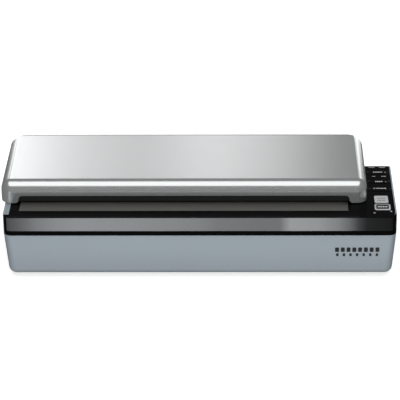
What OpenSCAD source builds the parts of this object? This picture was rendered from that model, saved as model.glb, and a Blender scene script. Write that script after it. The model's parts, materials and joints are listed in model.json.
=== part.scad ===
// Countertop vacuum sealer: a silver tub and a gloss black deck, a hinged silver lid across most of
// the width, and a control panel at the right. The origin is at the middle of the footprint, on the
// surface that the feet stand on. +X is the operator's right, +Y the back, +Z up. Millimetres.

/* [Overall] */
// Width over the lid's left end and the base's right side
overall_w = 396; // [360:2:480]
// Depth over the front band and the lid's back
overall_d = 155.6; // [150:0.2:190]
// Height of the deck above the surface it stands on
deck_h = 69; // [66:1:90]

/* [Base] */
// Height of the feet
foot_h = 3; // [2:0.5:6]
// Diameter of a foot
foot_d = 16; // [10:1:22]
// Wall of the tub
tub_wall = 2.5; // [1.8:0.1:3.5]
// Inward draft of the tub below the parting line, in degrees
tub_draft = 4.7; // [2:0.1:6]
// Plan radius of the tub's corners
tub_corner_r = 8; // [5:0.5:12]
// Radius of the tub's bottom edge
tub_edge_r = 6; // [3:0.5:8]
// Height of the black front band, from the parting line up to the deck
band_h = 20; // [18:0.5:22]
// How far the band stands in front of the tub
band_proud = 1; // [0.5:0.1:1.5]
// Depth of the band's wrap round the corners
band_wrap = 7; // [5:0.5:9]
// Width of the tub's rim beside the deck, on the left
rim_left = 6; // [5:0.5:8]
// Width of the tub's rim beside the deck, on the right
rim_right = 1.5; // [1:0.1:2.2]
// Thickness of the deck's skin
deck_t = 3; // [2.4:0.1:3.6]
// Distance of the tub's back wall in front of the lid's back
back_inset = 5.8; // [5:0.2:8]

/* [Lid] */
// Height of the lid's top above the deck
lid_rise = 23.8; // [22:0.2:30]
// Width of the lid
lid_w = 367.5; // [330:0.5:450]
// Setback of the lid's front behind the band
lid_setback = 30.8; // [28:0.2:34]
// Overhang of the lid past the base's left side
lid_overhang = 4; // [2:0.5:6]
// Wall of the lid cover
lid_wall = 2.2; // [1.6:0.1:2.8]
// Clearance between the lid's legs and the deck
lid_gap = 1; // [0.6:0.1:1.4]
// Radius of the lid's top edges
lid_edge_r = 10.4; // [6:0.2:12]
// Plan radius of the lid's front corners
lid_corner_r = 9; // [5:0.5:12]
// Plan radius of the lid's back corners
lid_back_r = 16; // [10:0.5:20]
// Height of the finger notch along the lid's front
notch_h = 9; // [6:0.5:11]
// Width of the leg left at each end of the notch
leg_w = 22; // [16:1:30]

/* [Hinge] */
// Distance of the hinge axis in front of the lid's back
hinge_in = 9.8; // [9:0.1:10.8]
// Depth of the hinge axis below the deck
hinge_drop = 3; // [2:0.5:4]
// Clearance between the lid's lobe and the trough in the deck
lobe_gap = 2.2; // [1.8:0.1:3]
// Distance of each hinge from the lid's middle
hinge_x = 136; // [110:1:150]
// Diameter of a hinge pin
pin_d = 4; // [3:0.1:5]
// Length of a hinge pin
pin_l = 26; // [24:1:30]
// Running clearance of a pin in the lid's knuckle, on the diameter
pin_clear = 0.12; // [0.06:0.02:0.2]

/* [Sealing and vacuum] */
// Length of the sealing bar, which sets the widest bag
seal_l = 316; // [280:1:320]
// Width of the sealing bar
seal_w = 8; // [6:0.5:9]
// Distance of the sealing bar's middle behind the lid's front
seal_back = 11; // [10.5:0.5:12]
// Length of the bag-rest plate
rest_l = 329; // [300:1:332]
// Length of the vacuum channel
channel_l = 272; // [240:1:276]
// Width of the vacuum channel
channel_w = 42; // [36:1:43]
// Depth of the vacuum channel
channel_depth = 12; // [8:1:14]
// Plan radius of the channel's corners
channel_r = 10; // [6:1:14]
// Width of the foam gaskets
gasket_w = 6; // [4:0.5:6.5]
// Gap left between parts that meet when the lid is down
soft_gap = 0.3; // [0.2:0.05:0.4]

/* [Controls] */
// Width of the control panel
panel_w = 24; // [22:0.5:24]
// Clearance round a button or key
key_gap = 0.25; // [0.15:0.05:0.4]
// Travel of a push button
button_travel = 1; // [0.6:0.1:1.2]
// Travel of a membrane key
key_travel = 0.5; // [0.3:0.1:0.8]
// Travel of a lid release button
release_travel = 3; // [2:0.5:3.5]

/* [Pump and power] */
// Radius of the pump motor
motor_r = 17.5; // [14:0.5:18]
// Length of the pump motor
motor_l = 54; // [44:1:60]
// Diameter of the pump shaft
shaft_d = 3.2; // [2.4:0.1:4]
// Throw of the pump's eccentric
throw = 2; // [1:0.2:2.4]
// Width of the transformer's core
core_w = 50; // [40:1:54]
// Bore of the hose port in the back wall
port_d = 6; // [4:0.2:7]

/* [Hidden] */

$fn = 48;
ARC = 8;            // steps along a quarter of a moulded edge
EPS = 0.01;         // overshoot of a cut
FAR = 500;          // longer than any part

SILVER = [0.80, 0.81, 0.80];
BASE_SILVER = [0.60, 0.64, 0.66];
BLACK = [0.07, 0.07, 0.075];
SMOKE = [0.45, 0.45, 0.44];
STEEL = [0.66, 0.67, 0.66];
RUBBER = [0.12, 0.12, 0.12];
FOAM = [0.22, 0.22, 0.23];
BOARD = [0.12, 0.32, 0.18];
COPPER = [0.72, 0.42, 0.22];

// Outline of the base and the lid
left = -overall_w / 2;
right = overall_w / 2;
front = -overall_d / 2;
back = overall_d / 2;
base_l = left + lid_overhang;
base_r = right;
tub_front = front + band_proud;
tub_back = back - back_inset;
part_z = deck_h - band_h;
wall_strip = max(tub_corner_r, tub_wall + tan(tub_draft) * (part_z - foot_h)) + 1;
wall_l = base_l + wall_strip;
wall_r = base_r - wall_strip;
wall_f = tub_front + wall_strip;
wall_b = tub_back - tub_wall - 1;
floor_z = foot_h + tub_wall;
lid_r = left + lid_w;
lid_mid = (left + lid_r) / 2;
lid_front = front + lid_setback;
lid_z = deck_h + lid_gap;
lid_top = deck_h + lid_rise;
deck_l = base_l + rim_left;
deck_r = base_r - rim_right;
deck_in = deck_h - deck_t;
band_back = front + band_wrap;

// Hinge axis, the lid's lobe round it, and the straight slope in front of the lobe
axis_y = back - hinge_in;
axis_z = deck_h - hinge_drop;
lobe_r = hinge_in;
trough_r = lobe_r + lobe_gap;
slope_run = 26;
slope_y = axis_y - slope_run;
hinge_at = [lid_mid - hinge_x, lid_mid + hinge_x];
lug_w = 8;
lug_r = 6;
knuckle_w = 8;
knuckle_r = 7;
knuckle_gap = 1;
lobe_slot_w = 2 * (lug_w / 2 + 3);

function arc(c, r, a0, a1, n = ARC) =
    [for (i = [0:n]) let (a = a0 + (a1 - a0) * i / n) c + r * [cos(a), sin(a)]];
// Direction of the tangent from point p that passes below the circle at c
function tangent_dir(p, c, r) = atan2(c.y - p.y, c.x - p.x) - asin(r / norm(c - p));
function tangent_at(p, c, r) = c + r * [cos(tangent_dir(p, c, r) - 90), sin(tangent_dir(p, c, r) - 90)];

AXIS = [axis_y, axis_z];
slope_dir = tangent_dir([slope_y, deck_h], AXIS, trough_r);

// Outer path of the deck in the YZ plane, lowered by t along its normals
function deck_path(t) = concat(
    [[front - 1, deck_h - t], [slope_y - t * tan(-slope_dir / 2), deck_h - t]],
    arc(AXIS, trough_r + t, slope_dir - 90, -asin(sqrt(1 - pow((tub_back - axis_y)
        / (trough_r + t), 2)))));

// Sealing line, channel and gaskets
seal_y = lid_front + seal_back;
rest_front = front + 15;
rest_back = seal_y - seal_w / 2 - 1;
rest_t = 1;
rest_drop = 0.8;
channel_y = seal_y + seal_w / 2 + 16 + channel_w / 2;
channel_z = deck_h - channel_depth;
channel_floor_t = 2;
trim_h = 15;
trim_t = 1;
trim_in = 4;
trim_drop = 0.6;
pan_z = channel_z - channel_floor_t;
gasket_in = 3;
groove_depth = 2;
gasket_top = deck_h + 2.5;
inner_z = lid_z + 1.2;
inner_t = 2;
inner_front = lid_front + lid_wall + 0.2;
inner_side = lid_wall + 0.2;
lid_channel_h = 6;
gasket_boss_h = 4;
gasket_boss = 1.5;
gasket_boss_t = 1.5;
holder_h = 5;
wire_w = 3;
wire_t = 0.4;
tape_t = 0.3;
tape_z = deck_h + wire_t;
strip_z = tape_z + tape_t + soft_gap;

// Control panel, laid out from the right rim and the front
panel_l = base_r - max(tub_wall - 0.5, rim_right + 0.5) - panel_w;
panel_x = panel_l + panel_w / 2;
panel_front = front + 8;
panel_back = front + 118;
fascia_t = 0.8;
seal_btn_at = [panel_x, front + 39.2];
seal_btn_size = [13.6, 15.2];
start_btn_at = [panel_x + 0.4, front + 22.3];
start_frame_size = [15.8, 12];
start_btn_size = [12.4, 8.6];
key_size = [18, 13];
key_at = [for (d = [106, 84, 66]) [panel_x, front + d]];
key_proud = 0.3;
button_proud = 1.2;
board_z = deck_h - 8.4;
board_t = 1.6;
switch_h = 2.8;
lens_at = [[panel_l + 3.9, front + 8.6 + 2], [panel_l + 20.6, front + 13.7]];
key_lens_at = [for (k = key_at, s = [-1, 1]) [k.x + s * 10.4, k.y]];
lens_d = 2.2;

// Lid release: one hook and one sprung slide at each end
hook_y = lid_front + 23;
hook_w = 8;
hook_t = 2.2;
nose = 1.6;
hook_z = deck_h - 16;
nose_h = 3;
hook_left = deck_l + 3.4;
hook_right = lid_r - lid_wall - 8.3;
release_size = [18, 8];
release_z = deck_h - 17.5;
release_cap_t = 4;
rail_z = release_z + 2.5;
rail_h = 3.5;
rail_t = 1.6;
lip_z = hook_z + nose_h + 0.5;
lip_t = 3;
spring_d = 5;
spring_solid_l = 6.5;
spring_l = release_travel + spring_solid_l;

// Screws, posts and feet
post_at = [[base_l + 12, band_back + 6], [lid_r - 6, band_back + 5],
    [base_l + 12, slope_y + 6], [base_r - 12, slope_y + 6]];
post_d = 9;
post_top = deck_h - 17;
post_web = 6;
screw_d = 3;
screw_head_d = 6;
screw_head_h = 2.4;
thread_bite = 8;
foot_at = [for (x = [base_l + 34, base_r - 34], y = [front + 24, tub_back - 18]) [x, y]];
foot_stem_d = 5;
lid_screw_at = [[left + 14, lid_front + 9], [lid_r - 14, lid_front + 9],
    [left + 14, slope_y - 4], [lid_r - 14, slope_y - 4], [lid_mid, slope_y + 1]];

// Pump, valves, transformer and boards, under the channel
pump_y = channel_y + 17;
flange_z = floor_z + 2;
flange_t = 2;
head_r = 15;
pump_z = flange_z + flange_t + max(motor_r, head_r + 0.5);
case_l = lid_mid - 72;
case_w = 36;
case_h = 37;
case_d = 40;
motor_x = case_l - motor_l;
ecc_r = 7;
ecc_w = 8;
ecc_x = case_l + 12;
rod_clear = 0.4;
rod_ring_t = 3;
dia_t = 2;
case_front = pump_y - case_d / 2;
head_l = 15;
head_y = case_front - dia_t - head_l;
pump_port_x = [ecc_x + ecc_w / 2 - 6, ecc_x + ecc_w / 2 + 6];
pump_port_y = head_y + head_l / 2;
barb_d = 5;
barb_bore = 3;
hose_wall = 1.5;
hose_z = pump_z + head_r;
barb_top = hose_z + 3;
mount_at = [for (x = [case_l - 14, case_l + case_w - 5], y = [-1, 1]) [x, pump_y + y * 25]];
valve_x = lid_mid - 8;
valve_size = [22, 20, 22];
hose_bend = 5;
vent_z = hose_z + 8;
sensor_x = lid_mid + 24;
port_x = lid_mid + 114;
port_z = deck_h - 30;
port_bend_y = channel_y + 4;
core_x = lid_mid + 74;
core_y = channel_y + 14;
core_h = 40;
core_d = 26;
core_leg = core_w / 6;
main_board_size = [150, 40];
main_board_at = [lid_mid + 75, channel_y - 49];
main_board_z = floor_z + 5;
inlet_x = lid_mid + 160;
inlet_z = floor_z + 16;
inlet_size = [26, 22, 18];
socket_r = 4.2;
socket_gap = 8.6;
socket_depth = 13;

// ---------------------------------------------------------------- shared shapes

// Rounded rectangle from p to q with radius rf in front and rb behind
module plan(p, q, rf, rb) {
    polygon(concat(
        arc([p.x + rf, p.y + rf], rf, 180, 270), arc([q.x - rf, p.y + rf], rf, 270, 360),
        arc([q.x - rb, q.y - rb], rb, 0, 90), arc([p.x + rb, q.y - rb], rb, 90, 180)));
}

// Extrudes a YZ outline along X from x0 to x1
module along_x(x0, x1) {
    translate([x0, 0, 0]) rotate([90, 0, 90]) linear_extrude(x1 - x0) children();
}

// Extrudes an XZ outline along Y from y0 to y1
module along_y(y0, y1) {
    translate([0, y1, 0]) rotate([90, 0, 0]) linear_extrude(y1 - y0) children();
}

module slab(p, q) {
    translate(p) cube(q - p);
}

// Cylinder along X, Y or Z between two coordinates, centred on the other two
module rod_x(x0, x1, y, z, r) {
    translate([x0, y, z]) rotate([0, 90, 0]) cylinder(h = x1 - x0, r = r);
}

module rod_y(y0, y1, x, z, r) {
    translate([x, y1, z]) rotate([90, 0, 0]) cylinder(h = y1 - y0, r = r);
}

module rod_z(z0, z1, at, r) {
    translate([at.x, at.y, z0]) cylinder(h = z1 - z0, r = r);
}

module tube_z(z0, z1, at, r, bore_r) {
    difference() {
        rod_z(z0, z1, at, r);
        rod_z(z0 - 1, z1 + 1, at, bore_r);
    }
}

// Quarter bend of a hose, as a sector of a ring in the XY plane from the angle start
module bend(r, tube_r, bore_r, start) {
    rotate_extrude(angle = 90, start = start) translate([r, 0]) difference() {
        circle(tube_r);
        circle(bore_r);
    }
}

// Rounded key or button blank
module key_blank(at, size, z0, z1, r) {
    translate([0, 0, z0]) linear_extrude(z1 - z0)
        plan(at - size / 2, at + size / 2, r, r);
}

// ---------------------------------------------------------------- base

// Solid body of the tub, shrunk by t on its walls and floor, up to the deck's path
module tub_body(t) {
    draft = tan(tub_draft);
    e = max(tub_edge_r - t, 1);
    low = foot_h + t;
    drop = part_z - low;
    intersection() {
        along_y(front - 5, back + 5) polygon(concat(
            [[base_l + t, deck_h + t], [base_l + t, part_z]],
            arc([base_l + t + draft * (drop - e) + e, low + e], e, 180, 270),
            arc([base_r - t - draft * (drop - e) - e, low + e], e, 270, 360),
            [[base_r - t, part_z], [base_r - t, deck_h + t]]));
        along_x(left - 5, right + 5) polygon(concat(
            [[band_back + t, deck_h + 2 * t], [band_back + t, part_z + t], [tub_front + t, part_z + t]],
            arc([tub_front + t + draft * (drop - e) + e, low + e], e, 180, 270),
            arc([tub_back - t - e, low + e], e, 270, 360),
            [[tub_back - t, deck_h + 2 * t]]));
        linear_extrude(FAR) plan([base_l + t, tub_front + t],
            [base_r - t, tub_back - t], max(tub_corner_r - t, 1), max(tub_corner_r - t, 1));
    }
}

// Space above the deck's outer path lowered by t, between two X limits
module above_path(t, x0, x1) {
    along_x(x0, x1) polygon(concat(deck_path(t),
        [[back + 20, deck_path(t)[len(deck_path(t)) - 1].y], [back + 20, FAR], [front - 1, FAR]]));
}

module below_path(t, x0, x1, low) {
    along_x(x0, x1) polygon(concat(deck_path(t), [[tub_back, low], [front - 1, low]]));
}

// The tub without its screw posts
module tub_shell() {
    difference() {
        union() {
            difference() {
                tub_body(0);
                tub_body(tub_wall);
                slab([base_l + tub_wall, band_back + tub_wall, deck_in - 1],
                    [base_r - tub_wall, tub_back - tub_wall, FAR]);
                slab([base_l + tub_wall, tub_front + tub_wall, part_z],
                    [base_r - tub_wall, band_back + tub_wall + 1, FAR]);
            }
            slab([base_l + 1, band_back + 1, deck_in], [deck_l, tub_back - 1, deck_h]);
        }
        above_path(0, left - 5, right + 5);
        above_path(deck_t, deck_l, deck_r);
        slab([left - 5, front - 5, part_z], [right + 5, band_back, FAR]);
        post_holes();
        for (p = foot_at) rod_z(-1, floor_z + 1, p, foot_stem_d / 2);
        for (side = [0, 1]) release_window(side);
        rod_y(tub_back - 10, tub_back + 5, port_x, port_z, port_d / 2 + 3);
        slab([inlet_x - inlet_size.x / 2, tub_back - 10, inlet_z - inlet_size.z / 2],
            [inlet_x + inlet_size.x / 2, tub_back + 5, inlet_z + inlet_size.z / 2]);
    }
}

module post_holes() {
    for (p = post_at) {
        rod_z(-1, post_top + 1, p, screw_d / 2 + 0.2);
        rod_z(-1, post_top - post_web, p, screw_head_d / 2 + 0.5);
    }
}

// The posts stand on the floor, clear of the walls
module posts() {
    for (p = post_at) rod_z(floor_z, post_top, p, post_d / 2);
}

// One wall of the tub with the strip of floor beside it; the side walls take the corners
module tub_wall_part(x0, x1, y0, y1) {
    color(BASE_SILVER) difference() {
        intersection() {
            tub_shell();
            slab([x0, y0, 0], [x1, y1, FAR]);
        }
        posts();
    }
}

module base_housing() {
    color(BASE_SILVER) {
        intersection() {
            tub_shell();
            slab([wall_l, wall_f, 0], [wall_r, wall_b, FAR]);
        }
        difference() {
            posts();
            post_holes();
        }
    }
}

module base_front() {
    tub_wall_part(wall_l, wall_r, front - 5, wall_f);
}

module base_back() {
    tub_wall_part(wall_l, wall_r, wall_b, back + 5);
}

module base_left() {
    tub_wall_part(left - 5, wall_l, front - 5, back + 5);
}

module base_right() {
    tub_wall_part(wall_r, right + 5, front - 5, back + 5);
}

module release_window(side) {
    x = side == 0 ? base_l : base_r;
    slab([x - 5, hook_y - release_size.x / 2 - key_gap, release_z - key_gap],
        [x + 5, hook_y + release_size.x / 2 + key_gap, release_z + release_size.y + key_gap]);
}

module feet() {
    color(RUBBER) for (p = foot_at) {
        rod_z(0, foot_h, p, foot_d / 2);
        rod_z(foot_h - 1, floor_z, p, foot_stem_d / 2);
    }
}

module base_screws() {
    color(STEEL) for (p = post_at) {
        rod_z(post_top - post_web - screw_head_h, post_top - post_web, p, screw_head_d / 2);
        rod_z(post_top - post_web - EPS, post_top + thread_bite, p, screw_d / 2);
    }
}

// ---------------------------------------------------------------- deck

module channel_plan(grow) {
    r = channel_r + grow;
    plan([lid_mid - channel_l / 2 - grow, channel_y - channel_w / 2 - grow],
        [lid_mid + channel_l / 2 + grow, channel_y + channel_w / 2 + grow], r, r);
}

module gasket_plan(slack) {
    difference() {
        channel_plan(gasket_in + gasket_w + slack);
        channel_plan(gasket_in - slack);
    }
}

module band_plan(t) {
    plan([base_l + 0.5 + t, front + t], [base_r - 0.3 - t, tub_back], max(tub_corner_r - t, 1), 1);
}

module latch_guides(side) {
    s = side == 0 ? 1 : -1;
    stop = side == 0 ? hook_left + hook_t + nose + soft_gap + lip_t + spring_l
        : hook_right - nose - soft_gap - lip_t - spring_l - 2;
    far_x = side == 0 ? deck_l : hook_right + hook_t + 6;
    slab([stop, hook_y - 9, lip_z - 3], [stop + 2, hook_y + 9, deck_in + 1]);
    for (w = [-1, 1])
        slab([min(stop, far_x), hook_y + w * 10 - (w < 0 ? 1.6 : 0), rail_z - 1],
            [max(stop + 2, far_x), hook_y + w * 10 + (w < 0 ? 0 : 1.6), deck_in + 1]);
}

module hinge_lugs() {
    for (x = hinge_at) {
        rod_x(x - lug_w / 2, x + lug_w / 2, axis_y, axis_z, lug_r);
        slab([x - lug_w / 2, axis_y - 5, axis_z - trough_r - deck_t + 1],
            [x + lug_w / 2, axis_y + 4, axis_z]);
    }
}

module deck() {
    color(BLACK) difference() {
        union() {
            difference() {
                intersection() {
                    below_path(0, deck_l, deck_r, deck_h - 40);
                    linear_extrude(FAR) plan([base_l, front], [base_r, tub_back], 1, tub_corner_r);
                }
                below_path(deck_t, deck_l - 1, deck_r + 1, deck_h - 60);
                slab([left, front - 5, 0], [right, front + tub_wall, FAR]);
                slab([left, tub_back - EPS, 0], [right, back + 20, FAR]);
            }
            difference() {
                translate([0, 0, part_z]) linear_extrude(band_h) band_plan(0);
                translate([0, 0, part_z - 1]) linear_extrude(band_h - deck_t + 1) band_plan(tub_wall);
                slab([left, band_back, 0], [right, FAR, FAR]);
            }
            translate([0, 0, deck_in - gasket_boss_t]) linear_extrude(gasket_boss_t + EPS)
                gasket_plan(gasket_boss);
            slab([lid_mid - rest_l / 2 - 2, rest_front - 2, deck_in - 2],
                [lid_mid + rest_l / 2 + 2, rest_back + 2, deck_in + 1]);
            slab([lid_mid - seal_l / 2 - 2, seal_y - seal_w / 2 - 2, deck_h - holder_h - 2],
                [lid_mid + seal_l / 2 + 2, seal_y + seal_w / 2 + 2, deck_in + 1]);
            intersection() {
                for (p = post_at) rod_z(post_top, deck_h, p, post_d / 2 - 0.5);
                below_path(0.5, left, right, 0);
            }
            for (side = [0, 1]) latch_guides(side);
            hinge_lugs();
        }
        linear_extrude(FAR) channel_plan(0);
        translate([0, 0, deck_h - groove_depth]) linear_extrude(FAR) gasket_plan(0);
        slab([lid_mid - rest_l / 2, rest_front, deck_h - rest_drop - rest_t],
            [lid_mid + rest_l / 2, rest_back, FAR]);
        slab([lid_mid - seal_l / 2, seal_y - seal_w / 2, deck_h - holder_h],
            [lid_mid + seal_l / 2, seal_y + seal_w / 2, FAR]);
        for (p = post_at) rod_z(post_top - 1, post_top + thread_bite + 0.5, p, screw_d / 2);
        for (x = [hook_left, hook_right]) hook_slot(x, deck_in - 20);
        for (x = hinge_at) rod_x(x - lug_w, x + lug_w, axis_y, axis_z, pin_d / 2);
        trim_blank(EPS);
        translate([0, 0, deck_h - fascia_t]) linear_extrude(FAR) fascia_plan();
        for (k = key_at) key_blank(k, key_size + [1, 1] * 2 * key_gap, deck_in - 20, FAR, 2);
        key_blank(seal_btn_at, seal_btn_size + [1, 1] * 2 * key_gap, deck_in - 20, FAR, 1.5);
        key_blank(start_btn_at, start_frame_size, deck_in - 20, FAR, 2);
        for (p = concat(lens_at, key_lens_at)) rod_z(deck_in - 1, FAR, p, lens_d / 2);
        rod_z(deck_in - 1, FAR, [hook_right - 16, channel_y + 4], 1.4);
    }
}

// Tray of the vacuum channel, hung under the deck
module channel_tray() {
    color(BLACK) difference() {
        translate([0, 0, pan_z]) linear_extrude(deck_in - pan_z)
            channel_plan(gasket_in - gasket_boss);
        translate([0, 0, channel_z]) linear_extrude(FAR) channel_plan(0);
        for (p = [[pump_port_x[0], pump_port_y], [valve_x, pump_port_y], [sensor_x, channel_y],
                [port_x, port_bend_y - hose_bend]]) rod_z(pan_z - 1, FAR, p, barb_bore / 2);
    }
}

module hook_slot(x, z0) {
    slab([x - 2.6, hook_y - hook_w / 2 - 1, z0 + 17], [x + hook_t + 2.6, hook_y + hook_w / 2 + 1, FAR]);
}

// Strip let into the face of the band
module trim_blank(grow) {
    translate([0, 0, deck_h - trim_h]) linear_extrude(trim_h - trim_drop) intersection() {
        difference() {
            band_plan(0);
            band_plan(trim_t);
        }
        translate([base_l + trim_in - grow, front - 1])
            square([base_r - base_l - 2 * (trim_in - grow), 6]);
    }
}

module front_trim() {
    color(SMOKE) trim_blank(0);
}

module bag_rest_plate() {
    color(STEEL) slab([lid_mid - rest_l / 2, rest_front, deck_h - rest_drop - rest_t],
        [lid_mid + rest_l / 2, rest_back, deck_h - rest_drop]);
}

module sealing_bar_holder() {
    color(BLACK) slab([lid_mid - seal_l / 2, seal_y - seal_w / 2, deck_h - holder_h],
        [lid_mid + seal_l / 2, seal_y + seal_w / 2, deck_h]);
}

module heating_wire() {
    color(STEEL) slab([lid_mid - seal_l / 2 + 2, seal_y - wire_w / 2, deck_h],
        [lid_mid + seal_l / 2 - 2, seal_y + wire_w / 2, deck_h + wire_t]);
}

module release_tape() {
    color([0.52, 0.45, 0.32]) difference() {
        slab([lid_mid - seal_l / 2, seal_y - seal_w / 2, deck_h],
            [lid_mid + seal_l / 2, seal_y + seal_w / 2, tape_z + tape_t]);
        slab([lid_mid - seal_l / 2 - 1, seal_y - wire_w / 2, deck_h - 1],
            [lid_mid + seal_l / 2 + 1, seal_y + wire_w / 2, tape_z]);
    }
}

module lower_gasket() {
    color(FOAM) translate([0, 0, deck_h - groove_depth])
        linear_extrude(gasket_top - deck_h + groove_depth) gasket_plan(0);
}

// ---------------------------------------------------------------- controls

module fascia_plan() {
    plan([panel_l, panel_front], [panel_l + panel_w, panel_back], 2, 3);
}

module control_fascia() {
    color(BLACK) difference() {
        translate([0, 0, deck_h - fascia_t]) linear_extrude(fascia_t) fascia_plan();
        for (k = key_at) key_blank(k, key_size + [1, 1] * 2 * key_gap, 0, FAR, 2);
        key_blank(seal_btn_at, seal_btn_size + [1, 1] * 2 * key_gap, 0, FAR, 1.5);
        key_blank(start_btn_at, start_frame_size, 0, FAR, 2);
        for (p = concat(lens_at, key_lens_at)) rod_z(0, FAR, p, lens_d / 2);
    }
}

// A cap with a stem that ends just above its switch
module push_cap(at, size, proud, r) {
    key_blank(at, size, deck_in - 0.5, deck_h + proud, r);
    rod_z(board_z + board_t + switch_h + 0.1, deck_in, at, 2);
}

module seal_button() {
    color(SILVER) push_cap(seal_btn_at, seal_btn_size, button_proud, 1.5);
}

module start_button() {
    color(BLACK) push_cap(start_btn_at, start_btn_size, button_proud, 1.5);
}

module start_button_frame() {
    color(SILVER) difference() {
        key_blank(start_btn_at, start_frame_size, deck_in, deck_h + 0.8, 2);
        key_blank(start_btn_at, start_btn_size + [1, 1] * 2 * key_gap, 0, FAR, 1.5);
    }
}

module membrane_key(i) {
    color(BLACK) push_cap(key_at[i], key_size, key_proud, 2);
}

module speed_key() {
    membrane_key(0);
}

module food_key() {
    membrane_key(1);
}

module canister_key() {
    membrane_key(2);
}

module indicator_lenses() {
    color([0.75, 0.85, 0.9]) for (p = concat(lens_at, key_lens_at))
        rod_z(deck_in - 1, deck_h + 0.2, p, lens_d / 2);
}

module control_board() {
    color(BOARD) difference() {
        slab([panel_l + 1, front + 5, board_z], [base_r - tub_wall - 1.5, panel_back, board_z + board_t]);
        for (y = [front + 7.5, panel_back - 3]) rod_z(0, FAR, [panel_x, y], 1.5);
    }
}

// Switches that end short of the caps' stems by more than the travel
module tact_row(places, travel) {
    z0 = board_z + board_t;
    for (p = places) slab([p.x - 3, p.y - 3, z0], [p.x + 3, p.y + 3, z0 + switch_h - travel - 0.6]);
}

module tact_switches() {
    color(RUBBER) {
        tact_row([seal_btn_at, start_btn_at], button_travel);
        tact_row(key_at, key_travel);
    }
}

module front_badge() {
    t = 0.4;
    z = part_z - 18.5;
    y = tub_front + tan(tub_draft) * (part_z - z);
    color(BLACK) translate([base_r - 39, y, z]) rotate([tub_draft, 0, 0]) {
        slab([-23, -t, 0.6], [23, 0, 5.6]);
        for (i = [0:8]) slab([-23 + i * 5.2, -t, -5.4], [-23 + i * 5.2 + 3.6, 0, -2.4]);
    }
}

// ---------------------------------------------------------------- lid

// Side outline of the lid, shrunk by t, with the lobe round the hinge axis
function lid_path(t) = let (e = lid_edge_r - t, rb = lid_edge_r + 4 - t, p = [slope_y + 2, lid_z])
    concat(
        arc([lid_front + lid_edge_r, lid_top - lid_edge_r], e, 180, 90),
        arc([back - lid_edge_r - 4, lid_top - lid_edge_r - 4], rb, 90, 0),
        arc(AXIS, lobe_r - t, 0, tangent_dir(p, AXIS, lobe_r) - 90, 2 * ARC));

module lid_blank(t, low) {
    e = lid_edge_r - t;
    pts = lid_path(t);
    rest = t == 0 ? [[slope_y + 2, lid_z], [lid_front, lid_z]]
        : [[pts[len(pts) - 1].x, low], [lid_front + t, low]];
    intersection() {
        along_x(left - 1, right + 1) polygon(concat(pts, rest));
        along_y(front, back + 1) polygon(concat(
            [[left + t, low]], arc([left + lid_edge_r, lid_top - lid_edge_r], e, 180, 90),
            arc([lid_r - lid_edge_r, lid_top - lid_edge_r], e, 90, 0), [[lid_r - t, low]]));
        linear_extrude(FAR) plan([left + t, lid_front + t], [lid_r - t, back - t],
            lid_corner_r - t, lid_back_r - t);
    }
}

module lid_cover() {
    color(SILVER) difference() {
        union() {
            difference() {
                lid_blank(0, axis_z - lobe_r - 2);
                lid_blank(lid_wall, axis_z - lobe_r - 2);
            }
            for (p = lid_screw_at) rod_z(inner_z + inner_t, lid_top - lid_wall / 2, p, 3.2);
        }
        slab([left + leg_w, lid_front - 1, 0], [lid_r - leg_w, lid_front + lid_wall + 1, lid_z + notch_h - 1]);
        for (p = lid_screw_at) rod_z(inner_z, inner_z + inner_t + 11, p, 1.25);
        for (x = hinge_at) slab([x - lobe_slot_w / 2, axis_y - 16, 0],
            [x + lobe_slot_w / 2, back + 5, axis_z + 8]);
    }
}

// Underside of the inner lid: flat, then parallel to the slope down to the lobe
module inner_section() {
    p = [slope_y + 2, lid_z];
    dir = tangent_dir(p, AXIS, lobe_r);
    n = [-sin(dir), cos(dir)];
    low = inner_z - lid_z;
    knee = [p.x + low * tan(-dir / 2), inner_z];
    end = tangent_at(p, AXIS, lobe_r) + n * low - 2 * [cos(dir), sin(dir)];
    polygon([[inner_front, inner_z], knee, end, end + n * inner_t,
        knee + [inner_t * tan(-dir / 2), inner_t], [inner_front, inner_z + inner_t]]);
}

module lid_knuckles() {
    for (x = hinge_at, s = [-1, 1]) {
        x0 = s < 0 ? x - lug_w / 2 - knuckle_gap - knuckle_w : x + lug_w / 2 + knuckle_gap;
        rod_x(x0, x0 + knuckle_w, axis_y, axis_z, knuckle_r);
        slab([x0, axis_y - 12, axis_z], [x0 + knuckle_w, axis_y, axis_z + 7]);
    }
}

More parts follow.
